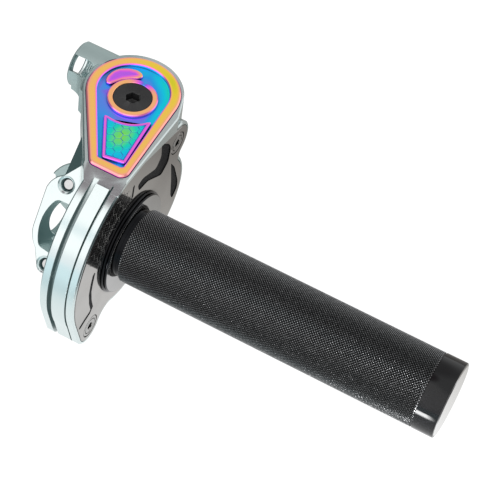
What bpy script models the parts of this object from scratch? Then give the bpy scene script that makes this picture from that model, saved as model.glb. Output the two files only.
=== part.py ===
"""Quick-action motorcycle twist throttle with a knurled grip.

Units in the named sizes are millimetres; MM turns them into metres.  +X runs along the handlebar
towards the grip's end, +Y points from the grip to the cable pulley, +Z is up.  The origin is the centre
of the grip's end face.  Named sizes along X are measured from the drum housing's inboard face, and
place() moves each piece from there to the origin.
"""

import math

import bmesh
import bpy
from mathutils import Matrix, Vector

MM = 0.001

# Handlebar and twist tube
BAR_R = 11.15
TUBE_START = 1.2
TUBE_END = 156.0
TUBE_SEAT_R = 12.5
TUBE_R = 13.4
TUBE_BORE_R = 12.0
TUBE_LIP_R = 11.4
FLANGE_R = 19.0
FLANGE_X = (10.9, 12.6)
NECK_R = 14.5
NECK_END = 19.4

# Grip
GRIP_R = 16.0
SLEEVE_X = (19.6, 150.0)
END_RING_X = (150.3, 159.2)
END_FACE_X = 159.5
END_DISC_R = 15.1
END_DISC_DEPTH = 2.1
CAP_PLUG_START = 152.5
BUSH_SPANS = (("bar_bush_inner", 14.0, 26.0), ("bar_bush_outer", 138.0, 150.0))
COLLAR_R = 22.4
COLLAR_X = (15.8, 17.9)

# Drum housing, seen along +X as outlines in the (Y, Z) plane
CASE_R = 43.0
CASE_X = (0.0, 15.5)
FLOOR_X = 3.0
LOBE_A = (-28.0, -25.5)
LOBE_A_R = 8.6
LOBE_B = (35.0, 26.5)
LOBE_B_R = 9.6
LOBE_C = (20.5, -23.5)
LOBE_C_R = 8.0
HUB_R = 29.5
BULGE = (20.0, 0.0)
BULGE_R = 24.0
PLATE_SCREWS = (LOBE_A, LOBE_B, LOBE_C)
PLATE_X = (13.4, 15.5)
PLATE_INSET = 1.45
PLATE_GAP = 0.22
PLATE_TOP = 40.9
PLATE_HOLE_R = 17.5
CAVITY_R = 37.4
CAVITY_HUB_R = 26.2
CAVITY_ARC = (-6.0, 200.0)
GROOVE_X = (3.5, 5.7)
GROOVE_DEPTH = 2.4
SEAM_X = (11.7, 12.05)
SEAM_DEPTH = 0.5
BROW_R = 42.7
BROW_ANGLE = 109.5

# Cable drum
DRUM_X = (5.4, 10.6)
DRUM_R = 36.3
DRUM_HUB_R = 24.0
DRUM_ARC = (5.0, 112.0)
CABLE_X = 8.0
CABLE_R = 34.0
CABLE_GROOVE = 2.2
DRUM_SCREW_R = 16.7
DRUM_SCREW_ANGLES = (58.0, 178.0, 298.0)

# Pulley housing, seen from above as outlines in the (X, Y) plane
HEAD_Z = (22.0, 43.0)
PULLEY_AT = (-4.7, 31.9)
PULLEY_Z = 34.0
PULLEY_PITCH_R = 12.7
PULLEY_R = 14.5
PULLEY_WIDTH = 6.6
WELL_R = 15.3
WELL_FLOOR = 27.5
COVER_Z = (41.7, 44.0)
COVER_FLOOR = 42.5
COVER_GAP = 0.25
RING_R = 10.4
BOLT_HEAD_R = 8.0
HEAD_CIRCLES = ((9.8, 32.0, 6.0), (-6.6, 36.0, 20.3), (1.2, -12.5, 1.2), (14.6, -12.5, 1.2))
COVER_CIRCLES = ((-6.1, 35.1, 18.9), (0.5, -3.4, 3.4), (11.1, -3.4, 3.4))
POCKET_CIRCLES = ((-6.1, 35.1, 14.6), (0.9, -1.3, 1.4), (9.7, -1.2, 1.3))

# Cable stub on the pulley housing
STUB_Y = 44.6
STUB_R = 9.65
STUB_X = (-37.0, -14.0)
STUB_BORE_R = 5.2
STUB_BORE_END = -29.0
STUB_SLOT_ANGLE = 137.0
STUB_SLOT_WIDTH = 7.0

# Handlebar clamp: local x is world X, local y is the direction t, local z is the direction h
CLAMP_ANGLE = 51.5
CLAMP_FACE_H = 20.0
CLAMP_SPLIT = 0.8
CAP_BACK_H = -17.5
CLAMP_BOLTS = ((-10.8, 14.5), (-7.1, -18.8))
CLAMP_BOLT_R = 2.45

# Bearings: bore radius, outer radius, width, ball radius, number of balls
TUBE_BEARING = (12.6, 15.9, 3.6, 0.95, 10)
TUBE_BEARING_X = 3.1
PULLEY_BEARING = (4.1, 7.95, 5.0, 1.0, 7)
CAGE_HALF = 0.32

# Segments round a turned piece
FINE = 60
ROUND = 36
MIDDLE = 26
SMALL = 18
TINY = 12
OUTLINE_STEP = 7.5

ORIGIN = Vector((END_FACE_X, 0, 0))
AXIS_Z = Matrix.Identity(3)
AXIS_X = Matrix(((0, 0, 1), (1, 0, 0), (0, 1, 0)))


def clamp_axes():
    """Axes of the clamp: x along the bar, y along t, z along h."""
    along = math.cos(math.radians(CLAMP_ANGLE))
    across = math.sin(math.radians(CLAMP_ANGLE))
    return Matrix(((1, 0, 0), (0, along, -across), (0, across, along)))


AXIS_CLAMP = clamp_axes()


def clear_scene():
    for item in list(bpy.data.objects):
        bpy.data.objects.remove(item, do_unlink=True)


def new_collection(name):
    made = bpy.data.collections.new(name)
    bpy.context.scene.collection.children.link(made)
    return made


def material(name, colour, roughness, metallic):
    made = bpy.data.materials.new(name)
    made.use_nodes = True
    shader = made.node_tree.nodes["Principled BSDF"]
    shader.inputs["Base Color"].default_value = (*colour, 1.0)
    shader.inputs["Roughness"].default_value = roughness
    shader.inputs["Metallic"].default_value = metallic
    return made


# ---------------------------------------------------------------- outlines

def arc(centre, radius, start, end, step=OUTLINE_STEP):
    """Points on a circle from start to end, in degrees, either way round."""
    count = max(2, math.ceil(abs(end - start) / step))
    angles = [math.radians(start + (end - start) * i / count) for i in range(count + 1)]
    return [(centre[0] + radius * math.cos(a), centre[1] + radius * math.sin(a)) for a in angles]


def contact(first, second):
    """Direction, in degrees, of the point where two circles of a chain meet or share a tangent."""
    across = (second[0] - first[0], second[1] - first[1])
    base = math.degrees(math.atan2(across[1], across[0]))
    if first[2] * second[2] < 0:
        return base
    ratio = (first[2] - second[2]) / math.hypot(*across)
    return base - math.degrees(math.acos(ratio))


def chain(circles, step=OUTLINE_STEP):
    """Outline through circles in turn, anticlockwise.  A negative radius makes a hollow curve."""
    points = []
    for i, circle in enumerate(circles):
        before = circles[i - 1]
        after = circles[(i + 1) % len(circles)]
        start = contact(before, circle)
        end = contact(circle, after)
        if circle[2] < 0:
            start = math.degrees(math.atan2(before[1] - circle[1], before[0] - circle[0]))
            end = start - (start - end) % 360
        elif before[2] < 0:
            start += 180
            end = start + (end - start) % 360
        else:
            end = start + (end - start) % 360
        points += arc(circle[:2], abs(circle[2]), start, end, step)
    return points


def hollow(first, second, radius):
    """Circle that lies outside two circles and touches both, on the right of first to second."""
    reach_1 = first[2] + radius
    reach_2 = second[2] + radius
    across = (second[0] - first[0], second[1] - first[1])
    gap = math.hypot(*across)
    along = (reach_1 ** 2 - reach_2 ** 2 + gap ** 2) / (2 * gap)
    aside = math.sqrt(reach_1 ** 2 - along ** 2)
    unit = (across[0] / gap, across[1] / gap)
    centre_x = first[0] + unit[0] * along + unit[1] * aside
    centre_y = first[1] + unit[1] * along - unit[0] * aside
    return (centre_x, centre_y, -radius)


def case_circles(inset):
    """Circles of the drum housing's outline, moved in by inset."""
    main = (0.0, 0.0, CASE_R - inset)
    lobe_a = (*LOBE_A, LOBE_A_R - inset)
    hub = (0.0, 0.0, HUB_R - inset)
    lobe_c = (*LOBE_C, LOBE_C_R - inset)
    bulge = (*BULGE, BULGE_R - inset)
    lobe_b = (*LOBE_B, LOBE_B_R - inset)
    lower = (main, lobe_a, hollow(lobe_a, hub, 7.0 + inset), hub)
    front = (hollow(hub, lobe_c, 30.0 + inset), lobe_c, hollow(lobe_c, bulge, 6.0 + inset), bulge)
    return lower + front + (hollow(bulge, lobe_b, 3.0 + inset), lobe_b)


def case_outline(inset, top, step=OUTLINE_STEP):
    """Outline of the drum housing in the (Y, Z) plane, cut off flat at the given height."""
    points = chain(case_circles(inset), step)
    return [(y, min(z, top)) for y, z in points]


def sector(hub_r, outer_r, start, end, step=OUTLINE_STEP):
    """Outline of a hub with a wider sector from start to end, in degrees."""
    return arc((0, 0), outer_r, start, end, step) + arc((0, 0), hub_r, end, start + 360, step)


# ---------------------------------------------------------------- solids

def place(item, axes=AXIS_Z, at=(0, 0, 0)):
    """Puts a piece at a point measured from the housing's inboard face."""
    item.matrix_world = Matrix.Translation((Vector(at) - ORIGIN) * MM) @ axes.to_4x4()
    return item


def link(name, mesh, home, finish=None):
    item = bpy.data.objects.new(name, mesh)
    home.objects.link(item)
    if finish:
        mesh.materials.append(finish)
    return item


def smooth(mesh, angle=32.0):
    mesh.shade_smooth()
    mesh.set_sharp_from_angle(angle=math.radians(angle))


def flat(name, outline, low, high, home, finish=None, axes=AXIS_Z, at=(0, 0, 0)):
    """Solid plate: an outline in local (x, y) filled and thickened from low to high in local z."""
    curve = bpy.data.curves.new(name + "_outline", "CURVE")
    curve.dimensions = "2D"
    curve.fill_mode = "BOTH"
    curve.extrude = (high - low) / 2 * MM
    spline = curve.splines.new("POLY")
    spline.points.add(len(outline) - 1)
    for point, (x, y) in zip(spline.points, outline):
        point.co = (x * MM, y * MM, 0, 1)
    spline.use_cyclic_u = True
    holder = bpy.data.objects.new(name + "_outline", curve)
    bpy.context.scene.collection.objects.link(holder)
    bpy.context.view_layer.update()
    seen = holder.evaluated_get(bpy.context.evaluated_depsgraph_get())
    mesh = bpy.data.meshes.new_from_object(seen)
    bpy.data.objects.remove(holder, do_unlink=True)
    shape = bmesh.new()
    shape.from_mesh(mesh)
    bmesh.ops.remove_doubles(shape, verts=shape.verts, dist=0.000005)
    bmesh.ops.translate(shape, verts=shape.verts, vec=(0, 0, (low + high) / 2 * MM))
    bmesh.ops.recalc_face_normals(shape, faces=shape.faces)
    shape.to_mesh(mesh)
    shape.free()
    mesh.materials.clear()
    smooth(mesh)
    return place(link(name, mesh, home, finish), axes, at)


def turned(name, profile, steps, home, finish=None, axes=AXIS_Z, at=(0, 0, 0), open_ends=False):
    """Turned solid: (radius, height) points down the outer side, spun about local z."""
    mesh = bpy.data.meshes.new(name)
    count = len(profile)
    edges = [(i, i + 1) for i in range(count - 1)]
    if not open_ends:
        edges.append((count - 1, 0))
    mesh.from_pydata([(r * MM, 0, z * MM) for r, z in profile], edges, [])
    item = link(name, mesh, home, finish)
    spin = item.modifiers.new("Spin", "SCREW")
    spin.axis = "Z"
    spin.steps = steps
    spin.render_steps = steps
    spin.use_merge_vertices = True
    spin.merge_threshold = 0.00001
    spin.use_smooth_shade = False
    return place(item, axes, at)


def rod(name, radius, low, high, steps, home, finish=None, axes=AXIS_Z, at=(0, 0, 0)):
    """Plain cylinder from low to high in local z."""
    mesh = bpy.data.meshes.new(name)
    shape = bmesh.new()
    bmesh.ops.create_cone(shape, cap_ends=True, segments=steps, radius1=radius * MM, radius2=radius * MM,
                          depth=(high - low) * MM, matrix=Matrix.Translation((0, 0, (low + high) / 2 * MM)))
    shape.to_mesh(mesh)
    shape.free()
    smooth(mesh)
    return place(link(name, mesh, home, finish), axes, at)


def block(name, low, high, home, axes=AXIS_Z, at=(0, 0, 0)):
    """Box between two corners."""
    mesh = bpy.data.meshes.new(name)
    shape = bmesh.new()
    size = [(b - a) * MM for a, b in zip(low, high)]
    middle = [(a + b) / 2 * MM for a, b in zip(low, high)]
    bmesh.ops.create_cube(shape, size=1.0)
    bmesh.ops.scale(shape, vec=size, verts=shape.verts)
    bmesh.ops.translate(shape, vec=middle, verts=shape.verts)
    shape.to_mesh(mesh)
    shape.free()
    return place(link(name, mesh, home), axes, at)


def combine(target, tool, operation="DIFFERENCE"):
    """Boolean of target with a tool object, which becomes a hidden wire guide."""
    change = target.modifiers.new(tool.name, "BOOLEAN")
    change.operation = operation
    change.object = tool
    tool.hide_render = True
    tool.display_type = "WIRE"
    return target


def cut(target, *tools):
    for tool in tools:
        combine(target, tool)
    return target


def join(target, *tools):
    for tool in tools:
        combine(target, tool, "UNION")
    return target


def ring_profile(inner, outer, low, high):
    """Profile of a plain ring, down its outer side."""
    return [(inner, high), (outer, high), (outer, low), (inner, low)]


# ---------------------------------------------------------------- drum housing

def clamp_outline():
    """Clamp's outline in (X, t): a rounded nose that runs into the housing."""
    nose = [(3.0, 30.0), (-4.0, 30.0), (-8.1, 24.5), (-13.6, 17.3)]
    nose += arc((-8.4, 9.0), 10.0, 128, 174, 12)
    nose += arc((-5.5, -5.0), 12.2, 180, 228, 16)
    nose += arc(CLAMP_BOLTS[1], 3.7, 218, 285, 17)
    return nose + [(3.0, -24.0)]


def clamp_window():
    """Window in the fixed clamp half, one wide curve on its outer side."""
    outline = arc((-10.4, 4.9), 2.9, 90, 151.2, 20) + arc((3.6, -2.8), 18.88, 151.2, 207.5, 11)[1:]
    outline += arc((-10.57, -10.18), 2.9, 207.5, 264, 20)[1:] + arc((-5.0, -10.9), 2.9, 264, 360, 24)
    return outline + arc((-5.0, 5.1), 2.9, 0, 90, 24)


def head_gusset(tools):
    """Web between the pulley housing's flank and the clamp's upper end."""
    outer = [(-13.0, -4.4, 25.8), (-8.0, -0.5, 31.4), (-14.8, 12.0, 35.0), (-9.0, 14.0, 23.0)]
    inner = [(2.0, -2.0, 20.0), (2.0, 14.0, 24.0), (2.0, -2.0, 30.0), (2.0, 14.0, 36.0)]
    mesh = bpy.data.meshes.new("gusset")
    shape = bmesh.new()
    for corner in outer + inner:
        shape.verts.new(Vector(corner) * MM)
    bmesh.ops.convex_hull(shape, input=shape.verts)
    bmesh.ops.recalc_face_normals(shape, faces=shape.faces)
    shape.to_mesh(mesh)
    shape.free()
    return place(link("gusset", mesh, tools))


def stub_fillet(tools):
    """Hollow corner between the cable stub and the pulley housing."""
    hollow_side = arc((-36.0, 26.0), 9.8, 84, 6, 13)
    outline = [(-18.0, 42.0), (-35.0, 42.0)] + hollow_side + [(-22.0, 25.0), (-14.0, 25.0)]
    return flat("stub_fillet", outline[::-1], 27.5, 40.5, tools)


def bar_space(name, low, high, tools):
    return rod(name, BAR_R, low, high, MIDDLE, tools, axes=AXIS_X)


def rim_line(name, depth, span, low_z, high_y, tools):
    """Ring that cuts a line of the given depth into the rider's side of the drum housing."""
    profile = ring_profile(CASE_R - depth, CASE_R + 8, *span)
    ring = turned(name, profile, FINE, tools, axes=AXIS_X)
    keep = block(name + "_keep", (-5, -60, low_z), (20, high_y, 60), tools)
    return combine(ring, keep, "INTERSECT")


def brow_cut(tools):
    """Space above the flat that falls from the pulley cover's tip to the drum housing's rim."""
    angle = math.radians(BROW_ANGLE - 90)
    tilt = Matrix.Rotation(angle, 3, "X")
    return block("brow_cut", (-30, -30, BROW_R), (30, 30, BROW_R + 20), tools, tilt)


def housing_body(parts, tools, finish):
    """Milled body: drum housing, pulley housing, cable stub and the fixed half of the clamp."""
    body = flat("housing_body", case_outline(0.0, 42.5), *CASE_X, parts, finish, AXIS_X)
    join(body, flat("head", chain(HEAD_CIRCLES), *HEAD_Z, tools))
    join(body, rod("stub", STUB_R, *STUB_X, MIDDLE, tools, axes=AXIS_X, at=(0, STUB_Y, PULLEY_Z)))
    join(body, stub_fillet(tools))
    join(body, head_gusset(tools))
    join(body, flat("clamp_half", clamp_outline(), CLAMP_SPLIT, CLAMP_FACE_H, tools, axes=AXIS_CLAMP))
    cut(body, flat("plate_seat", plate_outline(-PLATE_GAP), PLATE_X[0], 20, tools, axes=AXIS_X))
    cavity = sector(CAVITY_HUB_R, CAVITY_R, *CAVITY_ARC)
    cut(body, flat("drum_space", cavity, FLOOR_X, 14, tools, axes=AXIS_X))
    boss = ring_profile(BAR_R + 0.6, 18.6, FLOOR_X - 1.5, 5.0)
    join(body, turned("bearing_boss", boss, ROUND, tools, axes=AXIS_X))
    cut(body, rod("bearing_seat", 16.05, 0.9, 9, ROUND, tools, axes=AXIS_X))
    cut(body, bar_space("bar_space", -45, 9, tools))
    cut(body, rim_line("rim_groove", GROOVE_DEPTH, GROOVE_X, -36, -12.5, tools))
    cut(body, rim_line("rim_seam", SEAM_DEPTH, SEAM_X, -30, -10.0, tools))
    cut(body, brow_cut(tools))
    seat = chain([(x, y, r + COVER_GAP) for x, y, r in COVER_CIRCLES])
    cut(body, flat("cover_seat", seat, COVER_Z[0] - 0.15, 50, tools))
    cut(body, rod("pulley_well", WELL_R, WELL_FLOOR, 46, MIDDLE, tools, at=(*PULLEY_AT, 0)))
    cut(body, rod("pulley_bolt_hole", 4.1, 10, 30, SMALL, tools, at=(*PULLEY_AT, 0)))
    cut(body, block("cable_slot", (CABLE_X - 2.2, -3, 31.6), (CABLE_X + 2.2, 32, 36.4), tools))
    cut(body, stub_bore(tools), stub_slot(tools), stub_cable_hole(tools))
    cut(body, flat("clamp_window", clamp_window(), 2, 26, tools, axes=AXIS_CLAMP))
    for i, spot in enumerate(CLAMP_BOLTS):
        cut(body, bolt_hole(f"thread_{i}", spot, tools))
    for i, spot in enumerate(PLATE_SCREWS):
        profile = [(0, 14), (3.3, 14), (3.3, PLATE_X[0] - 0.1), (2.1, PLATE_X[0] - 1.3), (2.1, 5.5), (0, 5.5)]
        cut(body, turned(f"plate_tap_{i}", profile, TINY, tools, None, AXIS_X, (0, *spot), True))
    return body


def bolt_hole(name, spot, tools):
    """Tapped hole with a wider mouth in the clamp's outer face."""
    mouth = CLAMP_FACE_H - 3.5
    profile = [(0, 24), (3.3, 24), (3.3, mouth), (2.6, mouth - 0.7), (2.6, -3), (0, -3)]
    return turned(name, profile, SMALL, tools, None, AXIS_CLAMP, AXIS_CLAMP @ Vector((*spot, 0)), True)


def stub_bore(tools):
    """Threaded bore of the stub, with its drill point."""
    profile = [(0, STUB_BORE_END + 2.6), (STUB_BORE_R, STUB_BORE_END), (STUB_BORE_R, -45), (0, -45)]
    return turned("stub_bore", profile, SMALL, tools, None, AXIS_X, (0, STUB_Y, PULLEY_Z), True)


def stub_slot(tools):
    """Side slot that lets the cable's ferrule into the stub."""
    along = math.cos(math.radians(STUB_SLOT_ANGLE))
    across = math.sin(math.radians(STUB_SLOT_ANGLE))
    axes = Matrix(((0, 0, 1), (along, -across, 0), (across, along, 0)))
    half = STUB_SLOT_WIDTH / 2
    return block("stub_slot", (0, -half, -45), (20, half, STUB_BORE_END), tools, axes, (0, STUB_Y, PULLEY_Z))


def stub_cable_hole(tools):
    return rod("stub_cable_hole", 1.7, STUB_BORE_END - 2, -12, TINY, tools, None, AXIS_X,
               (0, STUB_Y, PULLEY_Z))


def plate_outline(extra=0.0):
    """Outline of the face plate in (Y, Z), grown by -extra."""
    return case_outline(PLATE_INSET + extra, PLATE_TOP - extra)


def plate_pockets(tools):
    """Milled hollows beside the pulley, as outlines in (Y, Z)."""
    bent = [(20.5, 38.6), (26.5, 33.8), (28.6, 29.4), (27.9, 22.4), (23.2, 19.2), (12.4, 25.6),
            (5.0, 26.8), (2.9, 29.2), (4.2, 32.0), (8.6, 31.8), (17.3, 27.9), (20.4, 31.0)]
    slim = [(31.4, 17.6), (35.4, 11.2), (39.0, 1.6), (39.2, -5.0), (36.4, -8.6), (34.3, -5.4),
            (33.0, 6.2)]
    depth = (PLATE_X[1] - 1.1, PLATE_X[1] + 3)
    return (flat("pocket_bent", bent[::-1], *depth, tools, axes=AXIS_X),
            flat("pocket_slim", slim[::-1], *depth, tools, axes=AXIS_X))


def face_plate(parts, tools, finish):
    """Polished plate that closes the drum housing."""
    plate = flat("face_plate", plate_outline(), *PLATE_X, parts, finish, AXIS_X)
    cut(plate, rod("plate_hole", PLATE_HOLE_R, 10, 20, ROUND, tools, axes=AXIS_X))
    cut(plate, *plate_pockets(tools))
    for i, spot in enumerate(PLATE_SCREWS):
        profile = [(0, 18), (5.0, 18), (5.0, PLATE_X[1] - 0.3), (2.8, PLATE_X[1] - 2.5), (2.8, 10), (0, 10)]
        cut(plate, turned(f"plate_sink_{i}", profile, SMALL, tools, None, AXIS_X, (0, *spot), True))
    return plate


# ---------------------------------------------------------------- fasteners

def countersunk(name, head_r, shank_r, top, bottom, socket_r, steps, parts, tools, finish, axes, at):
    """Countersunk screw with a hexagonal socket."""
    cone = top - 0.3 - (head_r - shank_r)
    profile = [(0, top), (head_r, top), (head_r, top - 0.3), (shank_r, cone), (shank_r, bottom + 0.4),
               (shank_r - 0.4, bottom), (0, bottom)]
    screw = turned(name, profile, steps, parts, finish, axes, at, open_ends=True)
    socket = rod(name + "_socket", socket_r, top - head_r * 0.45, top + 2, 6, tools, axes=axes, at=at)
    return cut(screw, socket)


def cap_screw(name, spot, parts, tools, finish):
    """Socket-head screw that pulls the clamp cap up, its head sunk in the cap's back."""
    seat = CAP_BACK_H + 5.2
    at = AXIS_CLAMP @ Vector((*spot, 0))
    shank = [(0, 14.5), (CLAMP_BOLT_R - 0.4, 14.5), (CLAMP_BOLT_R, 14.0), (CLAMP_BOLT_R, seat)]
    profile = shank + [(4.2, seat), (4.2, seat - 4.8), (0, seat - 4.8)]
    screw = turned(name, profile, SMALL, parts, finish, AXIS_CLAMP, at, open_ends=True)
    socket = rod(name + "_socket", 2.3, seat - 7, seat - 2.2, 6, tools, axes=AXIS_CLAMP, at=at)
    return cut(screw, socket)


def clamp_cap(parts, tools, finish):
    """Loose half of the handlebar clamp, on the far side of the bar."""
    lobe = arc((-12.5, 7.0), 13.4, 95, 215, 15)
    outline = [(-0.6, 20.6)] + lobe + [(-17.6, -3.0), (-17.4, -8.0)]
    outline += arc((-8.0, -14.5), 9.6, 190, 262, 12) + [(-0.6, -25.2)]
    cap = flat("clamp_cap", outline, CAP_BACK_H, -CLAMP_SPLIT, parts, finish, AXIS_CLAMP)
    cut(cap, bar_space("cap_bar_space", -45, 9, tools))
    seat = CAP_BACK_H + 5.5
    profile = [(0, 5), (2.75, 5), (2.75, seat), (4.6, seat), (4.6, -30), (0, -30)]
    for i, spot in enumerate(CLAMP_BOLTS):
        at = AXIS_CLAMP @ Vector((*spot, 0))
        cut(cap, turned(f"cap_bore_{i}", profile, SMALL, tools, None, AXIS_CLAMP, at, True))
    return cap


# ---------------------------------------------------------------- pulley group

def cover_islands(tools):
    """Raised shapes inside the cover's pocket: a shield below the bolt and a crescent above it."""
    bolt = PULLEY_AT
    shield = arc(bolt, 14.5, 246, 330, 12) + [(9.6, 1.4), (8.8, -0.3), (1.9, -0.6), (0.9, 0.1)]
    shield = [point for point in shield if point[1] < 25.2]
    crescent = arc(bolt, 15.2, 104, 168, 9) + arc((bolt[0] - 12.1, bolt[1] + 1.8), 1.4, 200, 300, 50)
    crescent += arc(bolt, 10.0, 170, 100, 10)
    span = (COVER_FLOOR - 0.3, COVER_Z[1] - 0.3)
    return (flat("shield", shield, *span, tools), flat("crescent", crescent, *span, tools))


def pulley_cover(parts, tools, finish):
    """Milled cover: a rim, a pocket, a ring round the bolt, two raised shapes and a spigot below."""
    cover = flat("pulley_cover", chain(COVER_CIRCLES), *COVER_Z, parts, finish)
    at = (*PULLEY_AT, 0)
    spigot = rod("spigot", WELL_R - 0.3, COVER_Z[0] - 2.1, COVER_Z[0] + 0.4, MIDDLE, tools, at=at)
    join(cover, spigot)
    cut(cover, flat("pocket", chain(POCKET_CIRCLES), COVER_FLOOR, 50, tools))
    ring = rod("bolt_ring", RING_R, COVER_FLOOR - 0.3, COVER_Z[1] - 0.05, MIDDLE, tools, at=at)
    join(cover, ring, *cover_islands(tools))
    sink_r = BOLT_HEAD_R + 0.2
    top = COVER_Z[1] - 0.5
    profile = [(0, 50), (sink_r, 50), (sink_r, top), (sink_r - 4, top - 4), (sink_r - 4, 20), (0, 20)]
    return cut(cover, turned("bolt_sink", profile, MIDDLE, tools, None, AXIS_Z, at, True))


def pulley(parts, finish):
    """Grooved cable pulley."""
    half = PULLEY_WIDTH / 2
    bore = PULLEY_BEARING[1] + 0.06
    groove = PULLEY_PITCH_R - 0.9
    upper = [(bore, half), (PULLEY_R, half), (PULLEY_R, 1.5), (groove, 0.6)]
    profile = upper + [(r, -z) for r, z in reversed(upper)]
    return turned("pulley", profile, MIDDLE, parts, finish, at=(*PULLEY_AT, PULLEY_Z))


def bearing(name, sizes, steps, parts, tools, race, cage, axes, at):
    """Ball bearing as three solids: inner ring, outer ring, and the cage with its balls."""
    bore, outer, width, ball_r, count = sizes
    half = width / 2
    pitch = (bore + outer) / 2
    lip = ball_r * 0.75
    track = ball_r * 1.24
    inner = [(bore, half), (pitch - lip, half), (pitch - lip, lip), (pitch - track, 0),
             (pitch - lip, -lip), (pitch - lip, -half), (bore, -half)]
    turned(name + "_inner", inner, steps, parts, race, axes, at)
    outside = [(pitch + lip, half), (outer, half), (outer, -half), (pitch + lip, -half),
               (pitch + lip, -lip), (pitch + track, 0), (pitch + lip, lip)]
    turned(name + "_outer", outside, steps, parts, race, axes, at)
    strip = ring_profile(pitch - CAGE_HALF, pitch + CAGE_HALF, -half * 0.62, half * 0.62)
    body = turned(name + "_cage", strip, steps, parts, cage, axes, at)
    for i in range(count):
        angle = 2 * math.pi * i / count
        mesh = bpy.data.meshes.new(f"{name}_ball_{i}")
        shape = bmesh.new()
        bmesh.ops.create_uvsphere(shape, u_segments=6, v_segments=4, radius=ball_r * MM)
        shape.to_mesh(mesh)
        shape.free()
        ball = link(f"{name}_ball_{i}", mesh, tools)
        spot = axes @ Vector((pitch * math.cos(angle), pitch * math.sin(angle), 0)) + Vector(at)
        place(ball, axes, spot)
        join(body, ball)
    return body


# ---------------------------------------------------------------- twist tube group

def throttle_tube(parts, tools, finish):
    """Tube that turns on the handlebar: bearing seat, flange, neck and the long part in the grip."""
    flange_low, flange_high = FLANGE_X
    bore = [(TUBE_LIP_R, 8.0), (TUBE_BORE_R, 8.6), (TUBE_BORE_R, TUBE_END)]
    neck = [(TUBE_R, TUBE_END), (TUBE_R, NECK_END), (NECK_R, NECK_END), (NECK_R, flange_high)]
    flange = [(FLANGE_R, flange_high), (FLANGE_R, flange_low), (TUBE_SEAT_R, flange_low)]
    seat = [(TUBE_SEAT_R, TUBE_START), (TUBE_LIP_R, TUBE_START)]
    tube = turned("throttle_tube", bore + neck + flange + seat, ROUND, parts, finish, AXIS_X)
    for i, spot in enumerate(drum_screws()):
        sink = [(0, 16), (2.95, 16), (2.95, flange_high - 0.4), (1.65, flange_high - 1.7), (1.65, 9), (0, 9)]
        cut(tube, turned(f"flange_sink_{i}", sink, TINY, tools, None, AXIS_X, (0, *spot), True))
    return tube


def drum_screws():
    return [arc((0, 0), DRUM_SCREW_R, angle, angle)[0] for angle in DRUM_SCREW_ANGLES]


def cable_drum(parts, tools, finish):
    """Quick-action drum: a hub with a wide sector that carries the cable's groove."""
    drum = flat("cable_drum", sector(DRUM_HUB_R, DRUM_R, *DRUM_ARC), *DRUM_X, parts, finish, AXIS_X)
    cut(drum, rod("drum_bore", TUBE_SEAT_R + 0.15, 0, 14, MIDDLE, tools, axes=AXIS_X))
    half = CABLE_GROOVE / 2
    groove = ring_profile(CABLE_R - 0.9, DRUM_R + 3, CABLE_X - half, CABLE_X + half)
    cut(drum, turned("drum_groove", groove, FINE, tools, axes=AXIS_X))
    for i, spot in enumerate(drum_screws()):
        cut(drum, rod(f"drum_tap_{i}", 1.6, 0, 14, TINY, tools, axes=AXIS_X, at=(0, *spot)))
    nipple = arc((0, 0), CABLE_R - 1.0, 104, 104)[0]
    cut(drum, rod("nipple_seat", 2.6, 0, CABLE_X + half, TINY, tools, axes=AXIS_X, at=(0, *nipple)))
    for i, angle in enumerate((32, 64)):
        spot = arc((0, 0), 28.6, angle, angle)[0]
        cut(drum, rod(f"drum_relief_{i}", 2.8, 0, 14, SMALL, tools, axes=AXIS_X, at=(0, *spot)))
    return drum


def grip_collar(parts, finish):
    """Thin flange at the foot of the grip, with a groove in its edge."""
    low, high = COLLAR_X
    profile = [(NECK_R + 0.15, high), (COLLAR_R - 0.6, high), (COLLAR_R - 0.6, high - 0.7),
               (COLLAR_R - 1.2, high - 0.9), (COLLAR_R, high - 1.2), (COLLAR_R, low), (NECK_R + 0.15, low)]
    return turned("grip_collar", profile, ROUND, parts, finish, AXIS_X)


def grip_pieces(parts, finishes):
    """Sleeve, end ring, end cap and the nylon bushes that run on the handlebar."""
    bore = TUBE_R + 0.1
    sleeve = ring_profile(bore, GRIP_R, *SLEEVE_X)
    turned("grip_sleeve", sleeve, ROUND, parts, finishes["black_knurl"], AXIS_X)
    low, high = END_RING_X
    step = high - END_DISC_DEPTH
    seat = END_DISC_R + 0.15
    profile = [(seat, high), (GRIP_R - 0.35, high), (GRIP_R, high - 0.35), (GRIP_R, low), (bore, low),
               (bore, step), (seat, step)]
    turned("grip_end_ring", profile, ROUND, parts, finishes["black_gloss"], AXIS_X)
    face = END_FACE_X
    plug = TUBE_BORE_R - 0.15
    profile = [(0, face), (END_DISC_R - 0.3, face), (END_DISC_R, face - 0.3), (END_DISC_R, step + 0.2),
               (plug, step + 0.2), (plug, CAP_PLUG_START), (0, CAP_PLUG_START)]
    turned("grip_end_cap", profile, ROUND, parts, finishes["polished"], AXIS_X, open_ends=True)
    for name, low, high in BUSH_SPANS:
        profile = ring_profile(BAR_R + 0.07, TUBE_BORE_R - 0.06, low, high)
        turned(name, profile, MIDDLE, parts, finishes["nylon"], AXIS_X)


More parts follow.
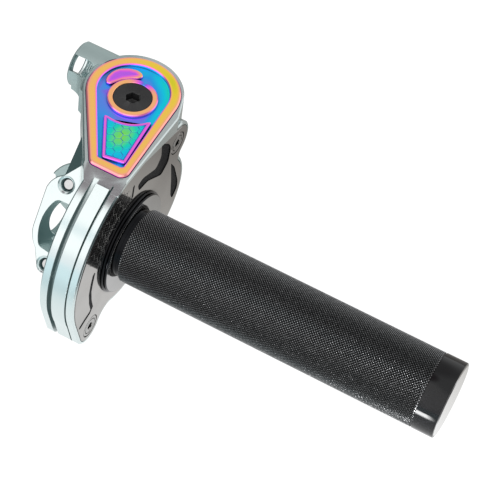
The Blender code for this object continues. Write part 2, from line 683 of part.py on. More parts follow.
def make_finishes():
    return {
        "satin": material("satin_aluminium", (0.72, 0.77, 0.77), 0.28, 1.0),
        "polished": material("polished_metal", (0.80, 0.80, 0.79), 0.08, 1.0),
        "plate": material("polished_plate", (0.42, 0.41, 0.40), 0.06, 1.0),
        "rainbow": material("rainbow_cover", (0.85, 0.60, 0.35), 0.12, 1.0),
        "black_bolt": material("black_steel", (0.03, 0.03, 0.03), 0.45, 0.6),
        "black_gloss": material("black_anodised", (0.02, 0.02, 0.022), 0.15, 0.4),
        "black_knurl": material("black_knurled", (0.02, 0.02, 0.02), 0.35, 0.4),
        "steel": material("bearing_steel", (0.62, 0.62, 0.62), 0.2, 1.0),
        "brass": material("brass_cage", (0.75, 0.57, 0.26), 0.3, 1.0),
        "nylon": material("white_nylon", (0.82, 0.81, 0.76), 0.5, 0.0),
        "rubber": material("seal_rubber", (0.03, 0.03, 0.03), 0.7, 0.0),
    }


def pivot(name, at, members, home):
    """Empty on a joint's axis, with the members parented to it."""
    empty = bpy.data.objects.new(name, None)
    home.objects.link(empty)
    empty.location = (Vector(at) - ORIGIN) * MM
    bpy.context.view_layer.update()
    for member in members:
        item = bpy.data.objects[member]
        world = item.matrix_world.copy()
        item.parent = empty
        item.matrix_parent_inverse = empty.matrix_world.inverted()
        item.matrix_world = world
    return empty


def pulley_group(parts, tools, finish):
    """Cover, bolt, pulley, bearing and the two spacers on the bolt."""
    at = (*PULLEY_AT, 0)
    pulley_cover(parts, tools, finish["rainbow"])
    countersunk("pulley_bolt", BOLT_HEAD_R, 3.95, COVER_Z[1] - 0.15, HEAD_Z[0] + 0.5, 2.9, MIDDLE, parts,
                tools, finish["black_bolt"], AXIS_Z, at)
    pulley(parts, finish["polished"])
    middle = (*PULLEY_AT, PULLEY_Z)
    bearing("pulley_bearing", PULLEY_BEARING, SMALL, parts, tools, finish["steel"], finish["brass"],
            AXIS_Z, middle)
    half = PULLEY_BEARING[2] / 2
    lower = ring_profile(4.1, 5.1, WELL_FLOOR + 0.1, PULLEY_Z - half - 0.1)
    turned("pulley_spacer_lower", lower, SMALL, parts, finish["steel"], at=at)
    upper = ring_profile(4.1, 5.1, PULLEY_Z + half + 0.1, COVER_Z[0] - 2.35)
    turned("pulley_spacer_upper", upper, SMALL, parts, finish["steel"], at=at)


def twist_group(parts, tools, finish):
    """Tube, drum, bearing, washer, seal and grip."""
    throttle_tube(parts, tools, finish["black_gloss"])
    cable_drum(parts, tools, finish["satin"])
    for i, spot in enumerate(drum_screws()):
        countersunk(f"drum_screw_{i + 1}", 2.75, 1.45, FLANGE_X[1] - 0.12, 6.4, 0.9, TINY, parts, tools,
                    finish["steel"], AXIS_X, (0, *spot))
    bearing("tube_bearing", TUBE_BEARING, MIDDLE, parts, tools, finish["steel"], finish["brass"],
            AXIS_X, (TUBE_BEARING_X, 0, 0))
    washer = ring_profile(NECK_R + 0.3, FLANGE_R - 0.2, FLANGE_X[1] + 0.2, PLATE_X[0] - 0.2)
    turned("thrust_washer", washer, MIDDLE, parts, finish["nylon"], AXIS_X)
    seal = ring_profile(NECK_R + 0.25, PLATE_HOLE_R - 0.2, PLATE_X[0] + 0.2, PLATE_X[1] - 0.2)
    turned("dust_seal", seal, MIDDLE, parts, finish["rubber"], AXIS_X)
    grip_collar(parts, finish["black_gloss"])
    grip_pieces(parts, finish)


def build():
    clear_scene()
    parts = new_collection("throttle_grip")
    tools = new_collection("cutters")
    finish = make_finishes()
    housing_body(parts, tools, finish["satin"])
    face_plate(parts, tools, finish["plate"])
    for i, spot in enumerate(PLATE_SCREWS):
        countersunk(f"face_plate_screw_{i + 1}", 4.75, 1.95, PLATE_X[1] - 0.1, 6.5, 1.75, SMALL, parts,
                    tools, finish["steel"], AXIS_X, (0, *spot))
    clamp_cap(parts, tools, finish["satin"])
    cap_screw("clamp_screw_upper", CLAMP_BOLTS[0], parts, tools, finish["black_bolt"])
    cap_screw("clamp_screw_lower", CLAMP_BOLTS[1], parts, tools, finish["black_bolt"])
    pulley_group(parts, tools, finish)
    twist_group(parts, tools, finish)
    turning = ["throttle_tube", "cable_drum", "drum_screw_1", "drum_screw_2", "drum_screw_3", "grip_collar",
               "grip_sleeve", "grip_end_ring", "grip_end_cap", "bar_bush_inner", "bar_bush_outer",
               "tube_bearing_inner"]
    pivot("throttle_axis", (0, 0, 0), turning, parts)
    pivot("pulley_axis", (*PULLEY_AT, PULLEY_Z), ["pulley", "pulley_bearing_outer"], parts)


build()
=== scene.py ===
"""Looks of the quick-action twist throttle: fine surfaces, materials, floor, light and camera.

Named sizes are millimetres, the same as the CAD's.  Sizes along X are measured from the drum housing's
inboard face; ORIGIN moves them to the frame's origin, the centre of the grip's end face.
"""

import math

import bmesh
import bpy
from mathutils import Matrix, Vector


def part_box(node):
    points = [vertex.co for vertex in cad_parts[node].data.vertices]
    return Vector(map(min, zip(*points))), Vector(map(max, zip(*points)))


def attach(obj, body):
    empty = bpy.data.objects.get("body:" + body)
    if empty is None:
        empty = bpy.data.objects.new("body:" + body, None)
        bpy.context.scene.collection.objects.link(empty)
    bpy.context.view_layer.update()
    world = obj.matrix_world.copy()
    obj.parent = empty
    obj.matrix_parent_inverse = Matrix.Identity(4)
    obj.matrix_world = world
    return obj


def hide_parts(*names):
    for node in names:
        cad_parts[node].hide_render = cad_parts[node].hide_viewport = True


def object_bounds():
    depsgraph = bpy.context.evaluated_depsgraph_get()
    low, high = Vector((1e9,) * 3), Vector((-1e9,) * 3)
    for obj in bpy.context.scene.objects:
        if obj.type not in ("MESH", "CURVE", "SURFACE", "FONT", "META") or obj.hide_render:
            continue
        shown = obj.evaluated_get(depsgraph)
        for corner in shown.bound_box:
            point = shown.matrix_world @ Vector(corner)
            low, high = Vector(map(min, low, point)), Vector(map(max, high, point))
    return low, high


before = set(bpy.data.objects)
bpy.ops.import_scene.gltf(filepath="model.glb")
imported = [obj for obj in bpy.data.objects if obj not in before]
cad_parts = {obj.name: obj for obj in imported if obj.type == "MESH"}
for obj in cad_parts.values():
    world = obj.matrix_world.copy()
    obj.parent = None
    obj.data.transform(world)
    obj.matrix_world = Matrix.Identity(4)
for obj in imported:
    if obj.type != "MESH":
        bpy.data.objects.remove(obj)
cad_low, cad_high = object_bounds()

MM = 0.001
END_FACE_X = 159.5
ORIGIN = Vector((END_FACE_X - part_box("grip_end_cap")[1].x / MM, 0, 0))

# Grip and twist tube
GRIP_R = 16.0
TUBE_R = 13.4
TUBE_BORE_R = 12.0
NECK_R = 14.5
SLEEVE_X = (19.6, 150.0)
KNURL_AROUND = 80
KNURL_PITCH = 1.25
KNURL_DEPTH = 0.42
END_RING_X = (150.06, 159.2)
END_DISC_R = 15.1
COLLAR_R = 22.4
COLLAR_X = (15.8, 17.9)

# Drum housing, outlines in the (Y, Z) plane
CASE_R = 43.0
FLANK_R = 42.7
CASE_X = (0.0, 15.5)
CASE_TOP = 42.5
DRUM_SPACE_R = 26.2
DRUM_SPACE_X = (3, 14)
BEARING_R = 16.05
BEARING_BOSS_R = 18.6
BEARING_X = 3.1
RACE_R = (12.6, 15.9)
RACE_HALF = 1.8
BALL_R = 0.95
BALLS = 10
LOBE_A = (-28.0, -25.5)
LOBE_A_R = 8.6
LOBE_B = (35.0, 26.5)
LOBE_B_R = 9.6
LOBE_C = (20.5, -23.5)
LOBE_C_R = 8.0
HUB_R = 29.5
BULGE = (20.0, 0.0)
BULGE_R = 24.0
PLATE_X = (13.4, 15.72)
PLATE_INSET = 1.6
PLATE_GAP = 0.25
PLATE_TOP = 40.9
PLATE_HOLE_R = 17.5
PLATE_SCREWS = (LOBE_A, LOBE_B, LOBE_C)
POCKET_DEPTH = 1.3
LINE_DEPTH = 1.0
BAND_DEPTH = 0.4
SINK_R = 5.2
GROOVE_X = (3.5, 5.7)
GROOVE_DEPTH = 2.4
GROOVE_START = 103.0
GROOVE_FULL = 128.0
SEAM_X = (11.7, 12.25)
SEAM_DEPTH = 0.7
BAND_START = 107.5
BAND_START_R = 43.9
BAND_END = 204
BAND_FOOT_R = 38.0
BROW_ANGLE = 109.5

# Pulley housing and cover, outlines in the (X, Y) plane
HEAD_Z = (22.0, 43.0)
BOLT = (-4.7, 31.9)
BOLT_HEAD_R = 7.75
COVER_Z = (41.7, 44.0)
COVER_FLOOR = 42.5
COVER_GAP = 0.25
RING_R = 10.1
HEAD_CIRCLES = ((9.8, 32.0, 6.0), (-6.6, 36.0, 20.3), (1.2, -12.5, 1.2), (14.6, -12.5, 1.2))
COVER_CIRCLES = ((-6.1, 35.1, 18.9), (0.5, -3.4, 3.4), (11.1, -3.4, 3.4))
POCKET_CIRCLES = ((-6.1, 35.1, 14.6), (0.9, -1.3, 1.4), (9.7, -1.2, 1.3))
WELL_R = 15.3
WELL_Z = 27.5
FILLET_Z = (27.5, 40.5)
STUB_AT = (44.6, 34.0)
STUB_R = 9.65
STUB_X = (-37.0, -14.0)
STUB_BORE_R = 5.2
STUB_BORE_END = -29.0
CABLE_R = 1.7
STUB_SLOT_ANGLE = 137.0
STUB_SLOT_WIDTH = 7.0
BLASTED = (-13.2, 18.0)

# Handlebar clamp: local x is X, local y runs up the clamp, local z is the clamp's face normal
BAR_R = 11.15
CLAMP_ANGLE = 51.5
CLAMP_FACE = 20.0
CLAMP_SPLIT = 0.8
CAP_BACK = -17.5
CLAMP_BOLTS = ((-10.8, 14.5), (-7.1, -18.8))
TAP_R = 2.75
TAP_MOUTH_R = 3.75
TAP_DEPTH = 9.4
TAP_PITCH = 0.9
SCREW_R = 2.4
SCREW_HEAD_R = 4.2
SCREW_HEAD = 4.8
SCREW_SINK_R = 4.6
SCREW_SINK = 5.5

# Smoothness
STEP = 2.5
FINE = 144
ROUND = 96
SMALL = 48

AXIS_Z = Matrix.Identity(3)
AXIS_X = Matrix(((0, 0, 1), (1, 0, 0), (0, 1, 0)))
ALONG = math.cos(math.radians(CLAMP_ANGLE))
ACROSS = math.sin(math.radians(CLAMP_ANGLE))
AXIS_CLAMP = Matrix(((1, 0, 0), (0, ALONG, -ACROSS), (0, ACROSS, ALONG)))

tools = []


# ---------------------------------------------------------------- outlines

def polar(radius, angle, centre=(0, 0)):
    """Point at a radius and an angle in degrees from a centre."""
    turn = math.radians(angle)
    return centre[0] + radius * math.cos(turn), centre[1] + radius * math.sin(turn)


def arc(centre, radius, start, end, step=STEP):
    count = max(2, math.ceil(round(abs(end - start) / step, 4)))
    return [polar(radius, start + (end - start) * i / count, centre) for i in range(count + 1)]


def circle(radius, count):
    return [polar(radius, 360 * i / count) for i in range(count)]


def contact(first, second):
    across = (second[0] - first[0], second[1] - first[1])
    base = math.degrees(math.atan2(across[1], across[0]))
    if first[2] * second[2] < 0:
        return base
    return base - math.degrees(math.acos((first[2] - second[2]) / math.hypot(*across)))


def chain(circles, step=STEP, counts=None):
    """Outline through circles in turn, anticlockwise.  A negative radius makes a hollow curve."""
    points = []
    for i, circle in enumerate(circles):
        before = circles[i - 1]
        after = circles[(i + 1) % len(circles)]
        start = contact(before, circle)
        end = contact(circle, after)
        if circle[2] < 0:
            start = math.degrees(math.atan2(before[1] - circle[1], before[0] - circle[0]))
            end = start - (start - end) % 360
        elif before[2] < 0:
            start += 180
            end = start + (end - start) % 360
        else:
            end = start + (end - start) % 360
        if counts:
            step = (end - start) / counts[i]
        points += arc(circle[:2], abs(circle[2]), start, end, step)
    return points if counts else tidy(points)


def tidy(points, least=0.01):
    """Outline without repeated points."""
    kept = []
    for point in points:
        if not kept or math.dist(point, kept[-1]) > least:
            kept.append(point)
    if math.dist(kept[0], kept[-1]) <= least:
        kept.pop()
    return kept


def anticlockwise(outline):
    """The outline, reversed if its points run clockwise."""
    twice_area = sum(a[0] * b[1] - b[0] * a[1] for a, b in zip(outline, outline[1:] + outline[:1]))
    return outline if twice_area > 0 else outline[::-1]


def hollow(first, second, radius):
    """Circle that lies outside two circles and touches both, on the right of first to second."""
    reach_1 = first[2] + radius
    reach_2 = second[2] + radius
    across = (second[0] - first[0], second[1] - first[1])
    gap = math.hypot(*across)
    along = (reach_1 ** 2 - reach_2 ** 2 + gap ** 2) / (2 * gap)
    aside = math.sqrt(reach_1 ** 2 - along ** 2)
    unit = (across[0] / gap, across[1] / gap)
    centre_x = first[0] + unit[0] * along + unit[1] * aside
    centre_y = first[1] + unit[1] * along - unit[0] * aside
    return (centre_x, centre_y, -radius)


def case_circles(inset, main_r=CASE_R):
    main = (0.0, 0.0, main_r - inset)
    lobe_a = (*LOBE_A, LOBE_A_R - inset)
    hub = (0.0, 0.0, HUB_R - inset)
    lobe_c = (*LOBE_C, LOBE_C_R - inset)
    bulge = (*BULGE, BULGE_R - inset)
    lobe_b = (*LOBE_B, LOBE_B_R - inset)
    lower = (main, lobe_a, hollow(lobe_a, hub, 7.0 + inset), hub)
    front = (hollow(hub, lobe_c, 30.0 + inset), lobe_c, hollow(lobe_c, bulge, 6.0 + inset), bulge)
    return lower + front + (hollow(bulge, lobe_b, 3.0 + inset), lobe_b)


def case_outline(inset, top, main_r=CASE_R):
    return tidy([(y, min(z, top)) for y, z in chain(case_circles(inset, main_r))])


def rounded(corners, parts=5):
    """Outline through (x, y, radius) corners, each rounded by a small curve."""
    points = []
    for i, (x, y, radius) in enumerate(corners):
        if radius <= 0:
            points.append((x, y))
            continue
        here = Vector((x, y))
        back = Vector(corners[i - 1][:2]) - here
        ahead = Vector(corners[(i + 1) % len(corners)][:2]) - here
        start = here + back.normalized() * min(radius, back.length * 0.48)
        end = here + ahead.normalized() * min(radius, ahead.length * 0.48)
        for k in range(parts + 1):
            t = k / parts
            points.append(tuple(start * (1 - t) ** 2 + here * 2 * t * (1 - t) + end * t ** 2))
    return points


def inset(corners, depth):
    """Corners (x, y, radius), anticlockwise, moved in by depth."""
    moved = []
    for i, (x, y, radius) in enumerate(corners):
        here = Vector((x, y))
        before = (here - Vector(corners[i - 1][:2])).normalized()
        after = (Vector(corners[(i + 1) % len(corners)][:2]) - here).normalized()
        left = Vector((-before.y - after.y, before.x + after.x)).normalized()
        lean = max(0.35, left.dot(Vector((-after.y, after.x))))
        spot = (x + left.x * depth / lean, y + left.y * depth / lean)
        moved.append((*spot, max(0.15, radius - depth) if radius else 0))
    return moved


def stroke(points, width):
    """Outline of a line of the given width through points, with round ends."""
    half = width / 2
    sides = ([], [])
    for i, point in enumerate(points):
        before = Vector(points[max(i - 1, 0)])
        after = Vector(points[min(i + 1, len(points) - 1)])
        along = (after - before).normalized()
        for side, sign in zip(sides, (1, -1)):
            side.append((point[0] - along.y * half * sign, point[1] + along.x * half * sign))
    first = (Vector(points[0]) - Vector(points[1])).normalized() * half * 0.8
    last = (Vector(points[-1]) - Vector(points[-2])).normalized() * half * 0.8
    nose = (points[0][0] + first.x, points[0][1] + first.y)
    tail = (points[-1][0] + last.x, points[-1][1] + last.y)
    return [nose] + sides[1] + [tail] + sides[0][::-1]


# ---------------------------------------------------------------- solids

def place(item, axes=AXIS_Z, at=(0, 0, 0)):
    item.matrix_world = Matrix.Translation((Vector(at) - ORIGIN) * MM) @ axes.to_4x4()
    return item


def made(name, points, faces, axes=AXIS_Z, at=(0, 0, 0)):
    mesh = bpy.data.meshes.new(name)
    mesh.from_pydata([(x * MM, y * MM, z * MM) for x, y, z in points], [], faces)
    item = bpy.data.objects.new(name, mesh)
    bpy.context.scene.collection.objects.link(item)
    return place(item, axes, at)


def quads(first, second, count, spans=None):
    """Faces between two loops of count points, whose first points are first and second."""
    pairs = [(i, (i + 1) % count) for i in range(spans or count)]
    return [(first + i, first + j, second + j, second + i) for i, j in pairs]


def loft(name, rings, axes=AXIS_Z, at=(0, 0, 0), film=None):
    """Closed skin through rings (outline, height) from the bottom up, with equal counts of points."""
    count = len(rings[0][0])
    points = [(x, y, z) for outline, z in rings for x, y in outline]
    faces = [tuple(range(count))[::-1]]
    for k in range(len(rings) - 1):
        faces += quads(k * count, (k + 1) * count, count)
    last = (len(rings) - 1) * count
    faces.append(tuple(range(last, last + count)))
    item = made(name, points, faces, axes, at)
    if film:
        values = item.data.attributes.new("film", "FLOAT", "POINT")
        values.data.foreach_set("value", [v for v in film for _ in range(count)])
    return item


def prism(name, outline, low, high, axes=AXIS_Z, at=(0, 0, 0), chamfer=0.0, top_only=False):
    """Solid plate from an anticlockwise outline, with chamfered rims if wanted."""
    item = loft(name, [(outline, low), (outline, high)], axes, at)
    if chamfer:
        shape = bmesh.new()
        shape.from_mesh(item.data)
        rims = [e for e in shape.edges if e.calc_face_angle(0) > 1.0
                and abs(e.verts[0].co.z - e.verts[1].co.z) < 1e-7
                and (not top_only or e.verts[0].co.z > (low + high) / 2 * MM)]
        bmesh.ops.bevel(shape, geom=rims, offset=chamfer * MM, segments=1, profile=0.5, affect="EDGES",
                        clamp_overlap=False)
        shape.to_mesh(item.data)
        shape.free()
    return item


def turned(name, profile, steps=ROUND, axes=AXIS_Z, at=(0, 0, 0)):
    """Solid spun about local z: (radius, height) runs down the outer side, closed or from axis to axis."""
    on_axis = profile[0][0] == 0
    inner = profile[1:-1] if on_axis else profile
    count = len(inner)
    points = []
    for j in range(steps):
        turn = 2 * math.pi * j / steps
        points += [(r * math.cos(turn), r * math.sin(turn), z) for r, z in inner]
    faces = []
    spans = count - 1 if on_axis else count
    for j in range(steps):
        here = j * count
        there = (j + 1) % steps * count
        faces += quads(here, there, count, spans)
        if on_axis:
            faces.append((len(inner) * steps, here, there))
            faces.append((len(inner) * steps + 1, there + count - 1, here + count - 1))
    if on_axis:
        points += [(0, 0, profile[0][1]), (0, 0, profile[-1][1])]
    return made(name, points, faces, axes, at)


def rod(name, radius, low, high, steps=ROUND, axes=AXIS_Z, at=(0, 0, 0), chamfer=0.0):
    if chamfer:
        profile = [(0, high), (radius - chamfer, high), (radius, high - chamfer), (radius, low + chamfer),
                   (radius - chamfer, low), (0, low)]
    else:
        profile = [(0, high), (radius, high), (radius, low), (0, low)]
    return turned(name, profile, steps, axes, at)


def block(name, low, high, axes=AXIS_Z, at=(0, 0, 0)):
    outline = [(low[0], low[1]), (high[0], low[1]), (high[0], high[1]), (low[0], high[1])]
    return prism(name, outline, low[2], high[2], axes, at)


def ring_profile(inner, outer, low, high, chamfer=0.0):
    if not chamfer:
        return [(inner, high), (outer, high), (outer, low), (inner, low)]
    return [(inner + chamfer, high), (outer - chamfer, high), (outer, high - chamfer), (outer, low + chamfer),
            (outer - chamfer, low), (inner + chamfer, low), (inner, low + chamfer), (inner, high - chamfer)]


def combine(target, operation, *cutters):
    """Boolean of target with the cutters, one after another."""
    for cutter in cutters:
        change = target.modifiers.new(cutter.name, "BOOLEAN")
        change.operation = operation
        change.solver = "MANIFOLD"
        change.object = cutter
        cutter.hide_render = True
        tools.append(cutter)
    return target


def cut(target, *cutters):
    return combine(target, "DIFFERENCE", *cutters)


def join(target, *others):
    return combine(target, "UNION", *others)


def bake(item):
    """Turns an object's modifiers into its mesh and removes the cutters."""
    bpy.context.view_layer.update()
    seen = item.evaluated_get(bpy.context.evaluated_depsgraph_get())
    mesh = bpy.data.meshes.new_from_object(seen)
    item.modifiers.clear()
    item.data = mesh
    for tool in tools:
        bpy.data.objects.remove(tool, do_unlink=True)
    tools.clear()
    return item


def merge(item, *others):
    """Adds the other objects' shells to item's mesh."""
    shape = bmesh.new()
    shape.from_mesh(item.data)
    for other in others:
        change = item.matrix_world.inverted() @ other.matrix_world
        other.data.transform(change)
        shape.from_mesh(other.data)
        bpy.data.objects.remove(other, do_unlink=True)
    shape.to_mesh(item.data)
    shape.free()
    return item


def settle(item, body, look, nodes=(), angle=28.0):
    """Finishes a piece: smooth shading, material, body, slot and the CAD nodes it stands for."""
    if item.modifiers:
        bake(item)
    item.data.shade_smooth()
    item.data.set_sharp_from_angle(angle=math.radians(angle))
    item.data.materials.clear()
    item.data.materials.append(look)
    for face in item.data.polygons:
        face.material_index = 0
    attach(item, body)
    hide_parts(*nodes)
    return item


# ---------------------------------------------------------------- materials

def blank(name):
    look = bpy.data.materials.new(name)
    look.use_nodes = True
    tree = look.node_tree
    return look, tree, tree.nodes["Principled BSDF"]


def fill(tree, node, **values):
    """Sets a node's properties and inputs by name; a value that is a socket is linked."""
    for key, value in values.items():
        entry = key.replace("_", " ")
        if hasattr(node, key):
            setattr(node, key, value)
        elif isinstance(value, bpy.types.NodeSocket):
            tree.links.new(value, node.inputs[entry])
        else:
            node.inputs[entry].default_value = value
    return node


def add(tree, kind, **values):
    return fill(tree, tree.nodes.new("ShaderNode" + kind), **values)


def ramp(tree, stops, source):
    node = add(tree, "ValToRGB", Fac=source)
    elements = node.color_ramp.elements
    while len(elements) < len(stops):
        elements.new(0.5)
    for element, (position, colour) in zip(elements, stops):
        element.position = position
        element.color = (*colour, 1)
    return node.outputs["Color"]


def noise(tree, coords, scale, detail=4.0, stretch=(1, 1, 1)):
    mapping = add(tree, "Mapping", Scale=stretch, Vector=coords)
    return add(tree, "TexNoise", Scale=scale, Detail=detail, Vector=mapping.outputs["Vector"]).outputs["Fac"]


def span(tree, source, low, high, **values):
    """Moves a value that runs from 0 to 1, or over the range in values, to low ... high."""
    return add(tree, "MapRange", Value=source, To_Min=low, To_Max=high, **values).outputs["Result"]


def soft_step(tree, source, start, end):
    """Soft step: 0 at start, 1 at end."""
    return span(tree, source, 0.0, 1.0, interpolation_type="SMOOTHSTEP", From_Min=start, From_Max=end)


def sums(tree, operation, first, second, **values):
    node = add(tree, "Math", operation=operation, **values)
    for source, entry in zip((first, second), node.inputs):
        tree.links.new(source, entry)
    return node.outputs[0]


def mix(tree, share, first, second, data_type="RGBA", **values):
    node = add(tree, "Mix", data_type=data_type, **values)
    return fill(tree, node, Factor=share, A=first, B=second).outputs["Result"]


def attribute(tree, name):
    return add(tree, "Attribute", attribute_name=name).outputs["Fac"]


def place_in(tree):
    return add(tree, "TexCoord").outputs["Object"]


def mixed(colour, share, towards=(1, 1, 1)):
    return tuple(c + (t - c) * share for c, t in zip(colour, towards))


def shaded(tree, paint, strength, reach=0.003, dark=0.45, light=0.84):
    """Paints shade into a colour inside grooves and corners, darker where ambient occlusion finds nearby
    surfaces.
    """
    shade = add(tree, "AmbientOcclusion", samples=8, Distance=reach)
    stops = [(dark * 0.4, (0.01, 0.012, 0.012)), (dark, (0.07, 0.09, 0.09)), (light, (1, 1, 1))]
    return mix(tree, strength, paint, ramp(tree, stops, shade.outputs["AO"]), blend_type="MULTIPLY")


def surface(name, colour, rough, metallic=1.0, vary=0.05, grain=900.0, bump=0.02, stretch=(1, 1, 1),
            specular=0.5, bevel=0.0, painted_shade=0.0, matte_and_shade=False, painted_glow=(0, 0, 0)):
    """Metal, paint or plastic with small variations of colour, roughness and height.

    With the mask switch on, the areas marked by the mask attribute are rougher, as if blasted, and darkened
    by a painted shade tint.
    """
    look, tree, shader = blank(name)
    coords = place_in(tree)
    tones = [(0.35, mixed(colour, vary, (0, 0, 0))), (0.65, mixed(colour, vary))]
    paint = ramp(tree, tones, noise(tree, coords, 55.0, 3.0))
    # Shade painted into grooves and corners, at the given strength.
    if painted_shade:
        paint = shaded(tree, paint, painted_shade)
    speck = noise(tree, coords, grain, 5.0, stretch)
    roughness = span(tree, speck, rough * 0.75, rough * 1.3)
    height = add(tree, "Bump", Strength=bump, Distance=BUMP_DEPTH, Height=speck)
    if bevel:
        fill(tree, height, Normal=add(tree, "Bevel", samples=4, Radius=bevel * MM).outputs["Normal"])
    if matte_and_shade:
        mask = attribute(tree, "matte_and_shade")
        roughness = mix(tree, mask, roughness, MATTE_ROUGHNESS, "FLOAT")
        # Painted shade: the marked areas are tinted darker.
        paint = mix(tree, mask, paint, MATTE_SHADE_TINT, blend_type="MULTIPLY")
    fill(tree, shader, Base_Color=paint, Roughness=roughness, Normal=height.outputs["Normal"],
         # Painted glow: emission that makes the surface give off light though it is no lamp.
         Metallic=metallic, Specular_IOR_Level=specular, Emission_Color=(*painted_glow, 1),
         Emission_Strength=1.0 if any(painted_glow) else 0.0)
    return look


BUMP_DEPTH = 0.0002
MATTE_ROUGHNESS = 0.6
# Painted shade tint for the blasted areas.
MATTE_SHADE_TINT = (0.66, 0.72, 0.71, 1)
FILM_COLOURS = [
    (0.00, (0.60, 0.68, 0.02)), (0.08, (0.92, 0.68, 0.06)), (0.16, (1.00, 0.56, 0.16)),
    (0.27, (1.00, 0.36, 0.34)), (0.36, (1.00, 0.20, 0.62)), (0.46, (0.72, 0.12, 0.90)),
    (0.56, (0.22, 0.16, 0.85)), (0.66, (0.03, 0.36, 0.88)), (0.76, (0.01, 0.62, 0.84)),
    (0.86, (0.02, 0.74, 0.50)), (0.94, (0.20, 0.78, 0.14)), (1.00, (0.45, 0.75, 0.05))]


def rainbow(name):
    """Anodised titanium-like film: colour follows the film's thickness and shifts near edges. Shade is
    painted into its corners, and it has a faint painted glow in its own colour.
    """
    look, tree, shader = blank(name)
    coords = place_in(tree)
    drift = span(tree, noise(tree, coords, 90.0, 2.0), -0.03, 0.03)
    facing = add(tree, "LayerWeight", Blend=0.35).outputs["Facing"]
    turn = span(tree, facing, 0.0, 0.16, From_Min=0.25)
    film = sums(tree, "ADD", sums(tree, "ADD", attribute(tree, "film"), drift), turn, use_clamp=True)
    # Painted shade in the cover's corners and round its islands.
    paint = shaded(tree, ramp(tree, FILM_COLOURS, film), 1.0, 0.0022, 0.36, 0.78)
    speck = noise(tree, coords, 1400.0, 4.0)
    height = add(tree, "Bump", Strength=0.012, Distance=BUMP_DEPTH, Height=speck)
    # Painted glow: the film gives off a little light in its own colour.
    fill(tree, shader, Base_Color=paint, Emission_Color=paint, Emission_Strength=0.3, Metallic=1.0,
         Roughness=span(tree, speck, 0.09, 0.16), Normal=height.outputs["Normal"])
    return look


def knurled(name):
    """Black anodised knurl whose points are brighter, partly from wear and partly as painted glints."""
    look, tree, shader = blank(name)
    cloud = noise(tree, place_in(tree), 700.0, 2.0)
    wear_and_glint = sums(tree, "MULTIPLY", attribute(tree, "peak"), span(tree, cloud, 0.8, 1.2))
    # Painted glints: the knurl's points run up to near white, with a little real wear.
    tones = [(0.0, (0.020, 0.020, 0.020)), (0.45, (0.11, 0.11, 0.113)), (0.75, (0.32, 0.32, 0.325)),
             (0.95, (0.72, 0.72, 0.73))]
    fill(tree, shader, Base_Color=ramp(tree, tones, wear_and_glint), Roughness=span(tree, cloud, 0.24, 0.38),
         Metallic=1.0)
    return look


def make_looks():
    return {
        # Housing satin: shade painted into grooves and corners, and a faint painted teal glow.
        "satin": surface("satin_aluminium", (0.68, 0.735, 0.735), 0.18, vary=0.03, grain=1500, bump=0.04,
                         bevel=0.1, painted_shade=0.95, matte_and_shade=True, painted_glow=(0.018, 0.035, 0.035)),
        "machined": surface("machined_aluminium", (0.75, 0.78, 0.78), 0.2, vary=0.03, bump=0.05,
                            stretch=(1, 1, 8)),
        # Polished plate: shade painted into its hollows and corners.
        "plate": surface("polished_plate", (0.37, 0.357, 0.345), 0.06, grain=700, bump=0.015, bevel=0.06,
                         painted_shade=0.8),
        "etched": surface("etched_lines", (0.22, 0.22, 0.22), 0.6, 0.4, vary=0.3, grain=1200, bump=0.3),
        "collar_face": surface("polished_black", (0.34, 0.34, 0.34), 0.07, vary=0.04, bump=0.01),
        "rough_black": surface("rough_black", (0.012, 0.012, 0.014), 0.7, 0.0, vary=0.02, bump=0.8,
                               specular=0.2),
        "steel": surface("polished_steel", (0.56, 0.56, 0.56), 0.2, vary=0.04, grain=1200, bump=0.03),
        # Screw heads: shade painted into the socket and round the head.
        "screw": surface("screw_steel", (0.36, 0.35, 0.34), 0.16, vary=0.06, grain=1200, bump=0.03, painted_shade=0.6),
        "bolt": surface("black_steel", (0.022, 0.022, 0.023), 0.42, 0.3, vary=0.02, grain=1800, bump=0.1,
                        bevel=0.15),
        "brass": surface("brass_cage", (0.72, 0.5, 0.2), 0.28, vary=0.06, grain=800, bump=0.05),
        "black": surface("black_anodised", (0.022, 0.023, 0.026), 0.08, vary=0.01, grain=1500, bevel=0.1),
        "gloss": surface("black_gloss", (0.006, 0.006, 0.007), 0.07, 0.0, vary=0.004, grain=300, bump=0.01,
                         specular=0.3),
        "cap": surface("polished_cap", (0.80, 0.80, 0.80), 0.12, vary=0.03, grain=60, bump=0.05),
        "nylon": surface("white_nylon", (0.78, 0.77, 0.72), 0.5, 0.0, vary=0.03, grain=500, bump=0.06),
        "rubber": surface("seal_rubber", (0.02, 0.02, 0.02), 0.7, 0.0, vary=0.01, grain=600, bump=0.15),
        "rainbow": rainbow("rainbow_cover"),
        "knurl": knurled("black_knurled"),
    }


# ---------------------------------------------------------------- housing

def run_out(angle):
    """Inner radius of the rim groove: it rises gently to the surface at its upper end."""
    floor = CASE_R - GROOVE_DEPTH
    rise = 110.0
    shift = rise - floor
    away = math.radians(max(0.0, GROOVE_FULL - angle))
    return math.sqrt(rise ** 2 - (shift * math.sin(away)) ** 2) - shift * math.cos(away)


def rim_groove():
    """Groove that follows the rider's side of the housing, lobe included."""
    count = 40
    upper = [GROOVE_START - 6 + (GROOVE_FULL - GROOVE_START + 6) * i / count for i in range(count + 1)]
    inner = [polar(run_out(a), a) for a in upper]
    for y, z in chain(case_circles(GROOVE_DEPTH)):
        angle = math.degrees(math.atan2(z, y)) % 360
        if GROOVE_FULL < angle < 260 and y < -12.5 and z > -36:
            inner.append((y, z))
    outer = [(y * 1.35, z * 1.35) for y, z in inner]
    return prism("rim_groove", tidy(outer[::-1] + inner)[::-1], *GROOVE_X, AXIS_X)


